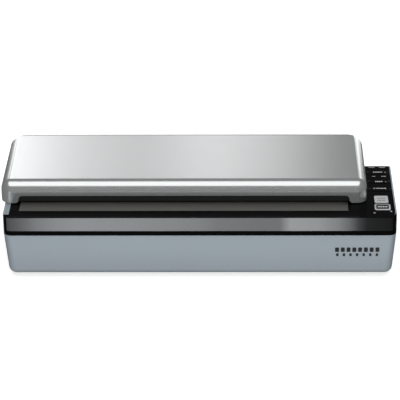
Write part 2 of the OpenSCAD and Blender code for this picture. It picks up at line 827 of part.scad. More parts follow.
module lid_inner() {
    color(BLACK) difference() {
        union() {
            intersection() {
                union() {
                    along_x(left + inner_side, lid_r - inner_side) inner_section();
                    slab([left, inner_front, inner_z], [lid_r, inner_front + 2, lid_z + notch_h + 2]);
                }
                linear_extrude(FAR) plan([left + inner_side, inner_front],
                    [lid_r - inner_side, back - inner_side], lid_corner_r - inner_side,
                    lid_back_r - inner_side);
            }
            translate([0, 0, inner_z]) linear_extrude(lid_channel_h + 2) channel_plan(2);
            translate([0, 0, inner_z]) linear_extrude(gasket_boss_h) gasket_plan(2);
            slab([lid_mid - seal_l / 2 - 2, seal_y - seal_w / 2 - 2, inner_z],
                [lid_mid + seal_l / 2 + 2, seal_y + seal_w / 2 + 2, inner_z + 5]);
            lid_knuckles();
        }
        linear_extrude(inner_z + lid_channel_h) channel_plan(0);
        linear_extrude(inner_z + gasket_boss_h - 1.5) gasket_plan(0.3);
        slab([lid_mid - seal_l / 2, seal_y - seal_w / 2, 0],
            [lid_mid + seal_l / 2, seal_y + seal_w / 2, inner_z + 3]);
        for (p = lid_screw_at) {
            rod_z(inner_z - 1, inner_z + inner_t + 1, p, 1.6);
            rod_z(inner_z - 1, inner_z + 1, p, 2.8);
        }
        for (x = hinge_at) {
            rod_x(x - 20, x + 20, axis_y, axis_z, (pin_d + pin_clear) / 2);
            slab([x - lug_w / 2 - knuckle_gap, axis_y - 18, 0],
                [x + lug_w / 2 + knuckle_gap, back, axis_z + 7.5]);
        }
        for (x = [hook_left, hook_right])
            slab([x, hook_y - hook_w / 2, 0], [x + hook_t, hook_y + hook_w / 2, FAR]);
    }
}

module lid_gasket() {
    color(FOAM) translate([0, 0, gasket_top + soft_gap])
        linear_extrude(inner_z + gasket_boss_h - 1.5 - gasket_top - soft_gap) gasket_plan(0);
}

module pressure_strip() {
    color([0.30, 0.30, 0.30]) slab([lid_mid - seal_l / 2, seal_y - seal_w / 2, strip_z],
        [lid_mid + seal_l / 2, seal_y + seal_w / 2, inner_z + 3]);
}

// A hook with its nose towards the lid's middle; s is +1 on the left and -1 on the right
module hook(x, s) {
    slab([x, hook_y - hook_w / 2, hook_z], [x + hook_t, hook_y + hook_w / 2, inner_z + inner_t + 2]);
    slab([x - 2, hook_y - hook_w / 2 - 1, inner_z + inner_t],
        [x + hook_t + 2, hook_y + hook_w / 2 + 1, inner_z + inner_t + 2]);
    along_y(hook_y - hook_w / 2, hook_y + hook_w / 2)
        polygon(s > 0
            ? [[x + hook_t - EPS, hook_z], [x + hook_t + nose, hook_z + 1.5],
                [x + hook_t + nose, hook_z + nose_h], [x + hook_t - EPS, hook_z + nose_h]]
            : [[x + EPS, hook_z], [x + EPS, hook_z + nose_h],
                [x - nose, hook_z + nose_h], [x - nose, hook_z + 1.5]]);
}

module lid_hooks() {
    color(BLACK) {
        hook(hook_left, 1);
        hook(hook_right, -1);
    }
}

module lid_screws() {
    color(STEEL) for (p = lid_screw_at) {
        rod_z(inner_z - 0.6, inner_z + 1, p, 2.6);
        rod_z(inner_z + 1 - EPS, inner_z + inner_t + 10, p, 1.25);
    }
}

module hinge_pins() {
    color(STEEL) for (x = hinge_at) rod_x(x - pin_l / 2, x + pin_l / 2, axis_y, axis_z, pin_d / 2);
}

// ---------------------------------------------------------------- lid release

module release_slide(side) {
    s = side == 0 ? 1 : -1;
    wall_x = side == 0 ? base_l + 0.2 : base_r - 0.2;
    lip_x = side == 0 ? hook_left + hook_t + nose + soft_gap
        : hook_right - nose - soft_gap - lip_t;
    y0 = hook_y - release_size.x / 2;
    y1 = hook_y + release_size.x / 2;
    cap_x = side == 0 ? wall_x : wall_x - release_cap_t;
    rail_a = side == 0 ? wall_x + release_cap_t - EPS : lip_x;
    rail_b = side == 0 ? lip_x + lip_t : wall_x - release_cap_t + EPS;
    color(BLACK) {
        slab([cap_x, y0, release_z], [cap_x + release_cap_t, y1, release_z + release_size.y]);
        for (y = [y0 + 0.2, y1 - 0.2 - rail_t])
            slab([rail_a, y, rail_z], [rail_b, y + rail_t, rail_z + rail_h]);
        slab([lip_x, y0 + 0.2, lip_z], [lip_x + lip_t, y1 - 0.2, lip_z + 3]);
    }
}

module release_left() {
    release_slide(0);
}

module release_right() {
    release_slide(1);
}

module release_spring(x0) {
    color(STEEL) difference() {
        rod_x(x0, x0 + spring_l, hook_y, lip_z + 1, spring_d / 2);
        rod_x(x0 - 1, x0 + spring_l + 1, hook_y, lip_z + 1, spring_d / 2 - 0.8);
    }
}

module release_spring_left() {
    release_spring(hook_left + hook_t + nose + soft_gap + lip_t);
}

module release_spring_right() {
    release_spring(hook_right - nose - soft_gap - lip_t - spring_l);
}

module lid_switch() {
    x = hook_right - 16;
    y = channel_y + 4;
    color(RUBBER) {
        slab([x - 10, y - 3, deck_in - 11], [x + 10, y + 3, deck_in - 1]);
        rod_z(deck_in - 1 - EPS, deck_h + 0.6, [x, y], 1.2);
    }
}

// ---------------------------------------------------------------- pump

module pump_motor() {
    color(STEEL) difference() {
        union() {
            rod_x(motor_x, case_l, pump_y, pump_z, motor_r);
            rod_x(motor_x - 3, motor_x + 1, pump_y, pump_z, 6);
        }
        rod_x(motor_x - 4, case_l + 1, pump_y, pump_z, shaft_d / 2 + 0.05);
    }
}

module pump_shaft() {
    color(STEEL) {
        rod_x(motor_x - 6, ecc_x + ecc_w, pump_y, pump_z, shaft_d / 2);
        rod_x(ecc_x, ecc_x + ecc_w, pump_y, pump_z + throw, ecc_r);
    }
}

module pump_crankcase() {
    color([0.25, 0.25, 0.26]) difference() {
        union() {
            slab([case_l, case_front, flange_z], [case_l + case_w, case_front + case_d, flange_z + case_h]);
            slab([case_l - 19, pump_y - 30, flange_z], [case_l + case_w, pump_y + 30, flange_z + flange_t]);
        }
        rod_x(case_l + 4, case_l + case_w + 1, pump_y, pump_z, 16);
        rod_x(case_l - 1, case_l + 5, pump_y, pump_z, shaft_d / 2 + 1);
        rod_y(case_front - 1, pump_y, ecc_x + ecc_w / 2, pump_z, 7);
        for (p = mount_at) rod_z(0, flange_z + 6, p, 3);
    }
}

module crankcase_cover() {
    x = case_l + case_w;
    color([0.25, 0.25, 0.26]) slab([x, case_front + 1, flange_z + 1],
        [x + 2, case_front + case_d - 1, flange_z + case_h - 1]);
}

module pump_rod() {
    ring_r = ecc_r + throw + rod_clear;
    color([0.85, 0.85, 0.82]) difference() {
        union() {
            rod_x(ecc_x, ecc_x + ecc_w, pump_y, pump_z, ring_r + rod_ring_t);
            rod_y(case_front, pump_y - ring_r, ecc_x + ecc_w / 2, pump_z, 3.6);
        }
        rod_x(ecc_x - 1, ecc_x + ecc_w + 1, pump_y, pump_z, ring_r);
    }
}

module pump_diaphragm() {
    color(RUBBER) rod_y(case_front - dia_t, case_front, ecc_x + ecc_w / 2, pump_z, head_r - 1);
}

module pump_head() {
    color([0.25, 0.25, 0.26]) difference() {
        union() {
            rod_y(head_y, case_front - dia_t, ecc_x + ecc_w / 2, pump_z, head_r);
            for (x = pump_port_x) rod_z(pump_z, barb_top, [x, pump_port_y], barb_d / 2);
        }
        rod_y(case_front - dia_t - 5, case_front, ecc_x + ecc_w / 2, pump_z, head_r - 4);
        for (x = pump_port_x) rod_z(pump_z, barb_top + 1, [x, pump_port_y], barb_bore / 2);
    }
}

module pump_mounts() {
    color(RUBBER) for (p = mount_at) difference() {
        union() {
            rod_z(floor_z, flange_z, p, 5);
            rod_z(floor_z, flange_z + flange_t + 2, p, 3);
            rod_z(flange_z + flange_t, flange_z + flange_t + 2, p, 4.5);
        }
        rod_z(0, FAR, p, 1.6);
    }
}

module chassis_screws() {
    z = flange_z + flange_t + 2;
    corner = main_board_size / 2 - [4, 4];
    color(STEEL) {
        for (p = mount_at) {
            rod_z(floor_z, z + EPS, p, 1.5);
            rod_z(z, z + 1.8, p, 2.8);
        }
        for (sx = [-1, 1], sy = [-1, 1]) {
            q = main_board_at + [sx * corner.x, sy * corner.y];
            rod_z(main_board_z + board_t, main_board_z + board_t + 1.8, q, 2.8);
            rod_z(floor_z, main_board_z + board_t + EPS, q, 1.5);
        }
    }
}

module suction_hose() {
    color(RUBBER) tube_z(hose_z, pan_z, [pump_port_x[0], pump_port_y],
        barb_d / 2 + hose_wall, barb_d / 2);
}

module vent_hose() {
    r = barb_d / 2 + hose_wall;
    x = pump_port_x[1];
    color(RUBBER) {
        tube_z(hose_z, vent_z - hose_bend, [x, pump_port_y], r, barb_d / 2);
        difference() {
            rod_x(x + hose_bend, valve_x - valve_size.x / 2, pump_port_y, vent_z, r);
            rod_x(x, valve_x, pump_port_y, vent_z, barb_d / 2);
        }
        translate([x + hose_bend, pump_port_y, vent_z - hose_bend]) rotate([90, 0, 0])
            bend(hose_bend, r, barb_d / 2, 90);
    }
}

module vent_valve() {
    z1 = pan_z;
    color([0.30, 0.30, 0.32]) {
        slab([valve_x - valve_size.x / 2, pump_port_y - valve_size.y / 2, z1 - valve_size.z],
            [valve_x + valve_size.x / 2, pump_port_y + valve_size.y / 2, z1]);
        rod_z(z1 - valve_size.z - 14, z1 - valve_size.z, [valve_x, pump_port_y], 8);
    }
}

module vacuum_switch() {
    color(RUBBER) {
        rod_z(pan_z - 16, pan_z - 7, [sensor_x, channel_y], 10);
        rod_z(pan_z - 7 - EPS, pan_z, [sensor_x, channel_y], 3);
    }
}

module port_hose() {
    r = barb_d / 2 + hose_wall;
    y0 = port_bend_y - hose_bend;
    color(RUBBER) {
        tube_z(port_z + hose_bend, pan_z, [port_x, y0], r, barb_d / 2);
        difference() {
            rod_y(port_bend_y, tub_back - 10, port_x, port_z, r);
            rod_y(port_bend_y - 1, tub_back, port_x, port_z, barb_d / 2);
        }
        translate([port_x, port_bend_y, port_z + hose_bend]) rotate([90, 0, 90])
            bend(hose_bend, r, barb_d / 2, 180);
    }
}

module canister_port() {
    color(BLACK) difference() {
        union() {
            rod_y(tub_back - 9, tub_back, port_x, port_z, port_d / 2 + 3);
            rod_y(tub_back - 10, tub_back + 1.5, port_x, port_z, port_d / 2 + 2);
            rod_y(tub_back - 20, tub_back - 9, port_x, port_z, barb_d / 2);
        }
        rod_y(tub_back - 9, tub_back + 3, port_x, port_z, port_d / 2);
        rod_y(tub_back - 21, tub_back, port_x, port_z, barb_bore / 2);
    }
}

// ---------------------------------------------------------------- power and boards

module transformer_core() {
    win = [core_leg, core_h - 2 * core_leg];
    color([0.32, 0.33, 0.35]) difference() {
        slab([core_x - core_w / 2, core_y - core_d / 2, floor_z],
            [core_x + core_w / 2, core_y + core_d / 2, floor_z + core_h]);
        for (s = [-1, 1]) translate([core_x + s * core_leg * 1.5, core_y, floor_z + core_h / 2])
            cube([win.x, core_d + 2, win.y], center = true);
    }
}

module transformer_coil() {
    color(COPPER) difference() {
        translate([core_x, core_y, floor_z + core_h / 2])
            cube([4 * core_leg, core_d + 12, core_h - 2 * core_leg], center = true);
        translate([core_x, core_y, floor_z + core_h / 2])
            cube([2 * core_leg, core_d, core_h], center = true);
    }
}

module main_board() {
    a = main_board_at - main_board_size / 2;
    b = main_board_at + main_board_size / 2;
    color(BOARD) difference() {
        slab([a.x, a.y, main_board_z], [b.x, b.y, main_board_z + board_t]);
        for (x = [a.x + 4, b.x - 4], y = [a.y + 4, b.y - 4]) rod_z(0, FAR, [x, y], 1.5);
    }
}

module board_parts() {
    z = main_board_z + board_t;
    o = main_board_at;
    color([0.20, 0.20, 0.24]) {
        for (i = [0:2]) rod_z(z, z + 18, o + [-52 + 14 * i, 6], 5.5);
        slab([o.x - 14, o.y - 12, z], [o.x + 6, o.y + 3, z + 15]);
        slab([o.x + 14, o.y - 3, z], [o.x + 44, o.y - 1, z + 24]);
        for (i = [0:2]) slab([o.x + 16 + 9 * i, o.y - 8, z], [o.x + 22 + 9 * i, o.y - 3, z + 16]);
        slab([o.x - 50, o.y - 14, z], [o.x - 24, o.y - 7, z + 2.4]);
        for (i = [0:3]) slab([o.x + 52 + 4 * i, o.y + 6, z], [o.x + 55 + 4 * i, o.y + 13, z + 9]);
    }
}

module power_inlet() {
    y0 = tub_back - inlet_size.y;
    color(BLACK) difference() {
        slab([inlet_x - inlet_size.x / 2, y0, inlet_z - inlet_size.z / 2],
            [inlet_x + inlet_size.x / 2, tub_back, inlet_z + inlet_size.z / 2]);
        for (s = [-1, 1]) rod_y(tub_back - socket_depth, tub_back + 1,
            inlet_x + s * socket_gap / 2, inlet_z, socket_r);
        slab([inlet_x - socket_gap / 2, tub_back - socket_depth, inlet_z - socket_r],
            [inlet_x + socket_gap / 2, tub_back + 1, inlet_z + socket_r]);
        for (s = [-1, 1]) rod_y(y0 - 1, tub_back - socket_depth + 1,
            inlet_x + s * socket_gap / 2, inlet_z, 1.2);
    }
}

module inlet_pins() {
    color(STEEL) for (s = [-1, 1]) rod_y(tub_back - inlet_size.y - 4, tub_back - 4,
        inlet_x + s * socket_gap / 2, inlet_z, 1.2);
}

// Two insulated leads from the inlet to the main board
module wiring() {
    y1 = tub_back - inlet_size.y - 4;
    y0 = main_board_at.y + main_board_size.y / 2 - 6;
    color([0.55, 0.12, 0.10]) for (s = [-1, 1]) {
        x = inlet_x + s * socket_gap / 2;
        rod_y(y0, y1, x, inlet_z, 1);
        rod_z(main_board_z + board_t, inlet_z, [x, y0 + 1], 1);
    }
}

base_housing();
base_front();
base_back();
base_left();
base_right();
feet();
base_screws();
deck();
channel_tray();
front_trim();
bag_rest_plate();
sealing_bar_holder();
heating_wire();
release_tape();
lower_gasket();
control_fascia();
seal_button();
start_button();
start_button_frame();
speed_key();
food_key();
canister_key();
indicator_lenses();
control_board();
tact_switches();
front_badge();
lid_cover();
lid_inner();
lid_gasket();
pressure_strip();
lid_hooks();
lid_screws();
hinge_pins();
release_left();
release_right();
release_spring_left();
release_spring_right();
lid_switch();
pump_motor();
pump_shaft();
pump_crankcase();
crankcase_cover();
pump_rod();
pump_diaphragm();
pump_head();
pump_mounts();
chassis_screws();
suction_hose();
vent_hose();
vent_valve();
vacuum_switch();
port_hose();
canister_port();
transformer_core();
transformer_coil();
main_board();
board_parts();
power_inlet();
inlet_pins();
wiring();
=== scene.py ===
"""Looks of a countertop vacuum sealer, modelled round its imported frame.

Each sub-assembly is a class that takes its sizes from the frame, builds its pieces with Blender's own
operators and dresses them in procedural finishes. Lengths are in metres; MM turns millimetres into them.
OVER is how far a cutting tool reaches past what it cuts, FAR is a place beyond the object, SEAM is how near
two places count as one, FACING is how much of a normal has to point along an axis to count as facing it, and
SHARP is the angle in degrees from which an edge is shaded as an edge.
"""

import json
import logging
import math
from dataclasses import dataclass
from enum import Enum
from typing import Callable, ClassVar, Sequence

import bmesh
import bpy
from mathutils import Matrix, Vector


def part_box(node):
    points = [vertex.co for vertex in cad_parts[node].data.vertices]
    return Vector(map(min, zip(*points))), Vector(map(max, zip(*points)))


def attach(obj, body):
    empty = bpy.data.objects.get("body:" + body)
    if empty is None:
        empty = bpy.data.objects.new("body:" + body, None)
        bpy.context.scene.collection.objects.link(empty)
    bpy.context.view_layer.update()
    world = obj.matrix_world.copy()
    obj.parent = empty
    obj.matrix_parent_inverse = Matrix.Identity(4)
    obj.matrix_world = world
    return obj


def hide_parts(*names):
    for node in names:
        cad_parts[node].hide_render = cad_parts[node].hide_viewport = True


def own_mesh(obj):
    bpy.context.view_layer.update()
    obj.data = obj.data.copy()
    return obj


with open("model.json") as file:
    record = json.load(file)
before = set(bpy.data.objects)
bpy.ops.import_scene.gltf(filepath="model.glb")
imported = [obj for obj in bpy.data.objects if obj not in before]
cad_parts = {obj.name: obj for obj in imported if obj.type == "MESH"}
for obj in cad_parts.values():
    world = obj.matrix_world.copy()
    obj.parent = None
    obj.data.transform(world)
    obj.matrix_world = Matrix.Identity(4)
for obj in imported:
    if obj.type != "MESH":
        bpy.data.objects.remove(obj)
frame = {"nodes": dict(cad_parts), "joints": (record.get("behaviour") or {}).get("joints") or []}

MM = 0.001
OVER = 5 * MM
FAR = 1.0
SEAM = 0.02 * MM
FACING = 0.9
SHARP = 32.0
Color = tuple[float, float, float]
Point = Sequence[float]
Box = tuple[Vector, Vector]
Action = Callable[[], object]
PairTest = Callable[[Vector, Vector], bool]
Tree = bpy.types.NodeTree
Socket = bpy.types.NodeSocket
Node = bpy.types.Node
log = logging.getLogger("vacuum_sealer")


class Join(Enum):
    """How one solid meets another in a boolean step."""

    CUT = "DIFFERENCE"
    ADD = "UNION"
    KEEP = "INTERSECT"


class Side(Enum):
    """The operator's left or right, as the sign of X."""

    LEFT = -1
    RIGHT = 1


# ---------------------------------------------------------------- bench tools


def clear_selection() -> None:
    """Leaves edit mode and deselects every object."""
    if bpy.context.object and bpy.context.object.mode != "OBJECT":
        bpy.ops.object.mode_set(mode="OBJECT")
    bpy.ops.object.select_all(action="DESELECT")


def activate(obj: bpy.types.Object) -> None:
    """Selects one object alone and makes it the active one."""
    clear_selection()
    obj.select_set(True)
    bpy.context.view_layer.objects.active = obj


def rounding(radius: float, steps: int = 6) -> Action:
    """Makes an edit-mode action that rounds the selected edges by radius, in this many steps."""
    return lambda: bpy.ops.mesh.bevel(
        offset=radius, offset_type="OFFSET", segments=steps, profile=0.5, affect="EDGES", clamp_overlap=False
    )


def pushing(x: float = 0.0, y: float = 0.0, z: float = 0.0) -> Action:
    """Makes an edit-mode action that moves the selection by (x, y, z)."""
    return lambda: bpy.ops.transform.translate(value=(x, y, z))


def drawing_out(x: float = 0.0, y: float = 0.0, z: float = 0.0) -> Action:
    """Makes an edit-mode action that extrudes the selected faces by (x, y, z)."""
    return lambda: bpy.ops.mesh.extrude_region_move(TRANSFORM_OT_translate={"value": (x, y, z)})


def insetting(width: float, depth: float = 0.0) -> Action:
    """Makes an edit-mode action that insets the selected faces by width and sinks them by depth."""
    return lambda: bpy.ops.mesh.inset(thickness=width, depth=-depth, use_even_offset=True)


def lies_on(a: Vector, b: Vector, y: float, z: float) -> bool:
    """Tells whether an edge along X lies at this Y and Z."""
    return all(abs(p.y - y) < SEAM and abs(p.z - z) < SEAM for p in (a, b))


def stands_at(a: Vector, b: Vector, y: float) -> bool:
    """Tells whether an edge stands upright at this Y."""
    return abs(a.z - b.z) > MM and abs(a.y - y) < SEAM and abs(b.y - y) < SEAM


class Piece:
    """One mesh piece on the bench."""

    def __init__(self, obj: bpy.types.Object) -> None:
        """Wraps an object whose place is already in its mesh."""
        self.obj = obj

    @classmethod
    def _take(cls, name: str) -> "Piece":
        """Names the new primitive and puts its place into its mesh."""
        obj = bpy.context.active_object
        obj.name = name
        obj.data.name = name
        bpy.ops.object.transform_apply(location=True, rotation=True, scale=True)
        return cls(obj)

    @classmethod
    def block(cls, name: str, low: Point, high: Point) -> "Piece":
        """Adds a block between two corners."""
        clear_selection()
        low, high = Vector(low), Vector(high)
        bpy.ops.mesh.primitive_cube_add(size=1.0, location=(low + high) / 2, scale=high - low)
        return cls._take(name)

    @classmethod
    def rod(cls, name: str, start: Point, end: Point, radius: float, sides: int = 32) -> "Piece":
        """Adds a round bar between the middles of its two ends.

        Args:
            name: The piece's name.
            start: Middle of one end.
            end: Middle of the other end.
            radius: Radius of the bar.
            sides: Faces round the bar.

        Returns:
            The new piece.
        """
        clear_selection()
        start, end = Vector(start), Vector(end)
        along = end - start
        bpy.ops.mesh.primitive_cylinder_add(
            vertices=sides, radius=radius, depth=along.length, location=(start + end) / 2,
            rotation=along.to_track_quat("Z", "Y").to_euler(),
        )
        return cls._take(name)

    @classmethod
    def ring(cls, name: str, centre: Point, radius: float, wire: float) -> "Piece":
        """Adds a flat torus of the given radius and wire radius."""
        clear_selection()
        bpy.ops.mesh.primitive_torus_add(
            major_radius=radius, minor_radius=wire, major_segments=32, minor_segments=12, location=centre
        )
        return cls._take(name)

    @classmethod
    def wound(
        cls, name: str, start: Vector, radius: float, wire: float, length: float, turns: int, steps: int,
        facets: int,
    ) -> "Piece":
        """Winds a round wire into a coil along X.

        Args:
            name: The piece's name.
            start: The middle of the coil's left end.
            radius: Distance of the wire from the coil's axis.
            wire: Radius of the wire.
            length: Length of the coil between the middles of its end turns.
            turns: Number of turns.
            steps: Steps in a turn.
            facets: Faces round the wire.

        Returns:
            The new piece.
        """
        clear_selection()
        rings = steps * turns
        place = start + Vector((0, radius, 0))
        bpy.ops.mesh.primitive_circle_add(vertices=facets, radius=wire, location=place)
        coil = cls._take(name)
        coil._whole(
            lambda: bpy.ops.mesh.spin(
                steps=rings, angle=math.tau * turns, center=start, axis=(1, 0, 0), use_auto_merge=False
            ),
            kind="VERT",
        )
        for i, vertex in enumerate(coil.obj.data.vertices):
            vertex.co.x += length * (i // facets) / rings
        return coil._whole(
            lambda: bpy.ops.mesh.fill_holes(sides=facets),
            lambda: bpy.ops.mesh.normals_make_consistent(inside=False),
        )

    @classmethod
    def from_node(cls, name: str, node: str) -> "Piece":
        """Copies a frame node's mesh into a new piece and merges its loose triangles."""
        clear_selection()
        mesh = frame["nodes"][node].data.copy()
        mesh.name = name
        obj = bpy.data.objects.new(name, mesh)
        bpy.context.scene.collection.objects.link(obj)
        return cls(obj).flattened()

    def copy(self, name: str, shift: Point = (0, 0, 0)) -> "Piece":
        """Copies the piece, with its own mesh, moved by shift."""
        activate(self.obj)
        bpy.ops.object.duplicate(linked=False)
        bpy.context.active_object.location = shift
        return self._take(name)

    def repeated(self, count: int, step: Point) -> "Piece":
        """Repeats the piece in a row of count, each a step from the last, joined in one object."""
        shifts = [Vector(step) * i for i in range(1, count)]
        return self.grouped(*[self.copy(f"{self.obj.name}_{i}", shift) for i, shift in enumerate(shifts, 1)])

    def _enter(self, kind: str) -> None:
        """Opens the piece in edit mode with nothing selected."""
        activate(self.obj)
        bpy.ops.object.mode_set(mode="EDIT")
        bpy.ops.mesh.select_mode(type=kind)
        bpy.ops.mesh.select_all(action="DESELECT")

    def _whole(self, *actions: Action, kind: str = "FACE") -> "Piece":
        """Runs edit-mode actions on the whole mesh."""
        self._enter(kind)
        bpy.ops.mesh.select_all(action="SELECT")
        for action in actions:
            action()
        bpy.ops.object.mode_set(mode="OBJECT")
        return self

    def _chosen(self, kind: str, parts: str, test: Callable[[object], bool], action: Action) -> "Piece":
        """Runs an edit-mode action on the parts of the mesh that pass the test."""
        self._enter(kind)
        mesh = bmesh.from_edit_mesh(self.obj.data)
        for part in getattr(mesh, parts):
            part.select_set(test(part))
        mesh.select_flush_mode()
        bmesh.update_edit_mesh(self.obj.data)
        action()
        bpy.ops.object.mode_set(mode="OBJECT")
        return self

    def edges(self, test: PairTest, action: Action) -> "Piece":
        """Runs an edit-mode action on the edges whose two ends pass the test."""
        return self._chosen("EDGE", "edges", lambda e: test(e.verts[0].co, e.verts[1].co), action)

    def faces(self, test: PairTest, action: Action) -> "Piece":
        """Runs an edit-mode action on the faces whose centre and normal pass the test."""
        return self._chosen("FACE", "faces", lambda f: test(f.calc_center_median(), f.normal), action)

    def points(self, test: Callable[[Vector], bool], action: Action) -> "Piece":
        """Runs an edit-mode action on the points that pass the test."""
        return self._chosen("VERT", "verts", lambda v: test(v.co), action)

    def trimmed(self, point: Point, normal: Point) -> "Piece":
        """Cuts the piece on a plane, drops the side that the normal points to and closes the cut."""
        return self._whole(
            lambda: bpy.ops.mesh.bisect(plane_co=point, plane_no=normal, use_fill=True, clear_outer=True)
        )

    def sliced(self, point: Point, normal: Point) -> "Piece":
        """Adds an edge loop where a plane crosses the piece."""
        return self._whole(lambda: bpy.ops.mesh.bisect(plane_co=tuple(point), plane_no=normal))

    def flattened(self) -> "Piece":
        """Dissolves the edges that cross flat faces."""
        return self._whole(
            lambda: bpy.ops.mesh.remove_doubles(threshold=0.001 * MM),
            lambda: bpy.ops.mesh.dissolve_limited(angle_limit=math.radians(0.05)),
        )

    def modified(self, kind: str, **settings: object) -> "Piece":
        """Adds a modifier with these settings and applies it."""
        activate(self.obj)
        modifier = self.obj.modifiers.new(kind.title(), kind)
        for key, value in settings.items():
            setattr(modifier, key, value)
        bpy.ops.object.modifier_apply(modifier=modifier.name)
        return self

    def joined(self, how: Join, *tools: "Piece") -> "Piece":
        """Cuts, adds or keeps with other solids, which are used up."""
        for tool in tools:
            self.modified("BOOLEAN", operation=how.value, object=tool.obj, solver="EXACT")
            bpy.data.objects.remove(tool.obj, do_unlink=True)
        return self

    def grouped(self, *others: "Piece") -> "Piece":
        """Joins other pieces into this object without merging their surfaces."""
        clear_selection()
        for piece in (self, *others):
            piece.obj.select_set(True)
        bpy.context.view_layer.objects.active = self.obj
        bpy.ops.object.join()
        return self

    def hollowed(self, wall: float) -> "Piece":
        """Gives an open skin a wall on its inner side."""
        return self.modified(
            "SOLIDIFY", thickness=wall, offset=-1.0, use_even_offset=True, use_quality_normals=True
        )

    def softened(self, width: float, steps: int = 2) -> "Piece":
        """Rounds the sharp edges slightly, as a mould does, and smooths the shading."""
        self.modified(
            "BEVEL", width=width, segments=steps, limit_method="ANGLE", angle_limit=math.radians(SHARP),
            use_clamp_overlap=True, miter_outer="MITER_ARC",
        )
        return self.smoothed()

    def smoothed(self, angle: float = SHARP) -> "Piece":
        """Smooths the shading across edges flatter than the angle and weights it by face area."""
        activate(self.obj)
        bpy.ops.object.shade_smooth_by_angle(angle=math.radians(angle))
        return self.modified("WEIGHTED_NORMAL", keep_sharp=True, weight=60)

    def dressed(self, finish: "Finish", body: str, slot: str, replaces: Sequence[str] = ()) -> "Piece":
        """Gives the piece its finish and its place in the moving frame.

        Args:
            finish: The finish that covers it.
            body: The body that it rides on.
            slot: The record's material slot; not used.
            replaces: The frame's nodes that it stands for.

        Returns:
            The same piece.
        """
        self.obj.data.materials.clear()
        self.obj.data.materials.append(finish.material())
        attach(self.obj, body)
        if replaces:
            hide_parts(*replaces)
        return self


# ---------------------------------------------------------------- finishes


def add_node(tree: Tree, kind: str, **values: float) -> Node:
    """Adds a shader node and sets inputs; an underscore in an input's name stands for a space."""
    node = tree.nodes.new(f"ShaderNode{kind}")
    for key, value in values.items():
        node.inputs[key.replace("_", " ")].default_value = value
    return node


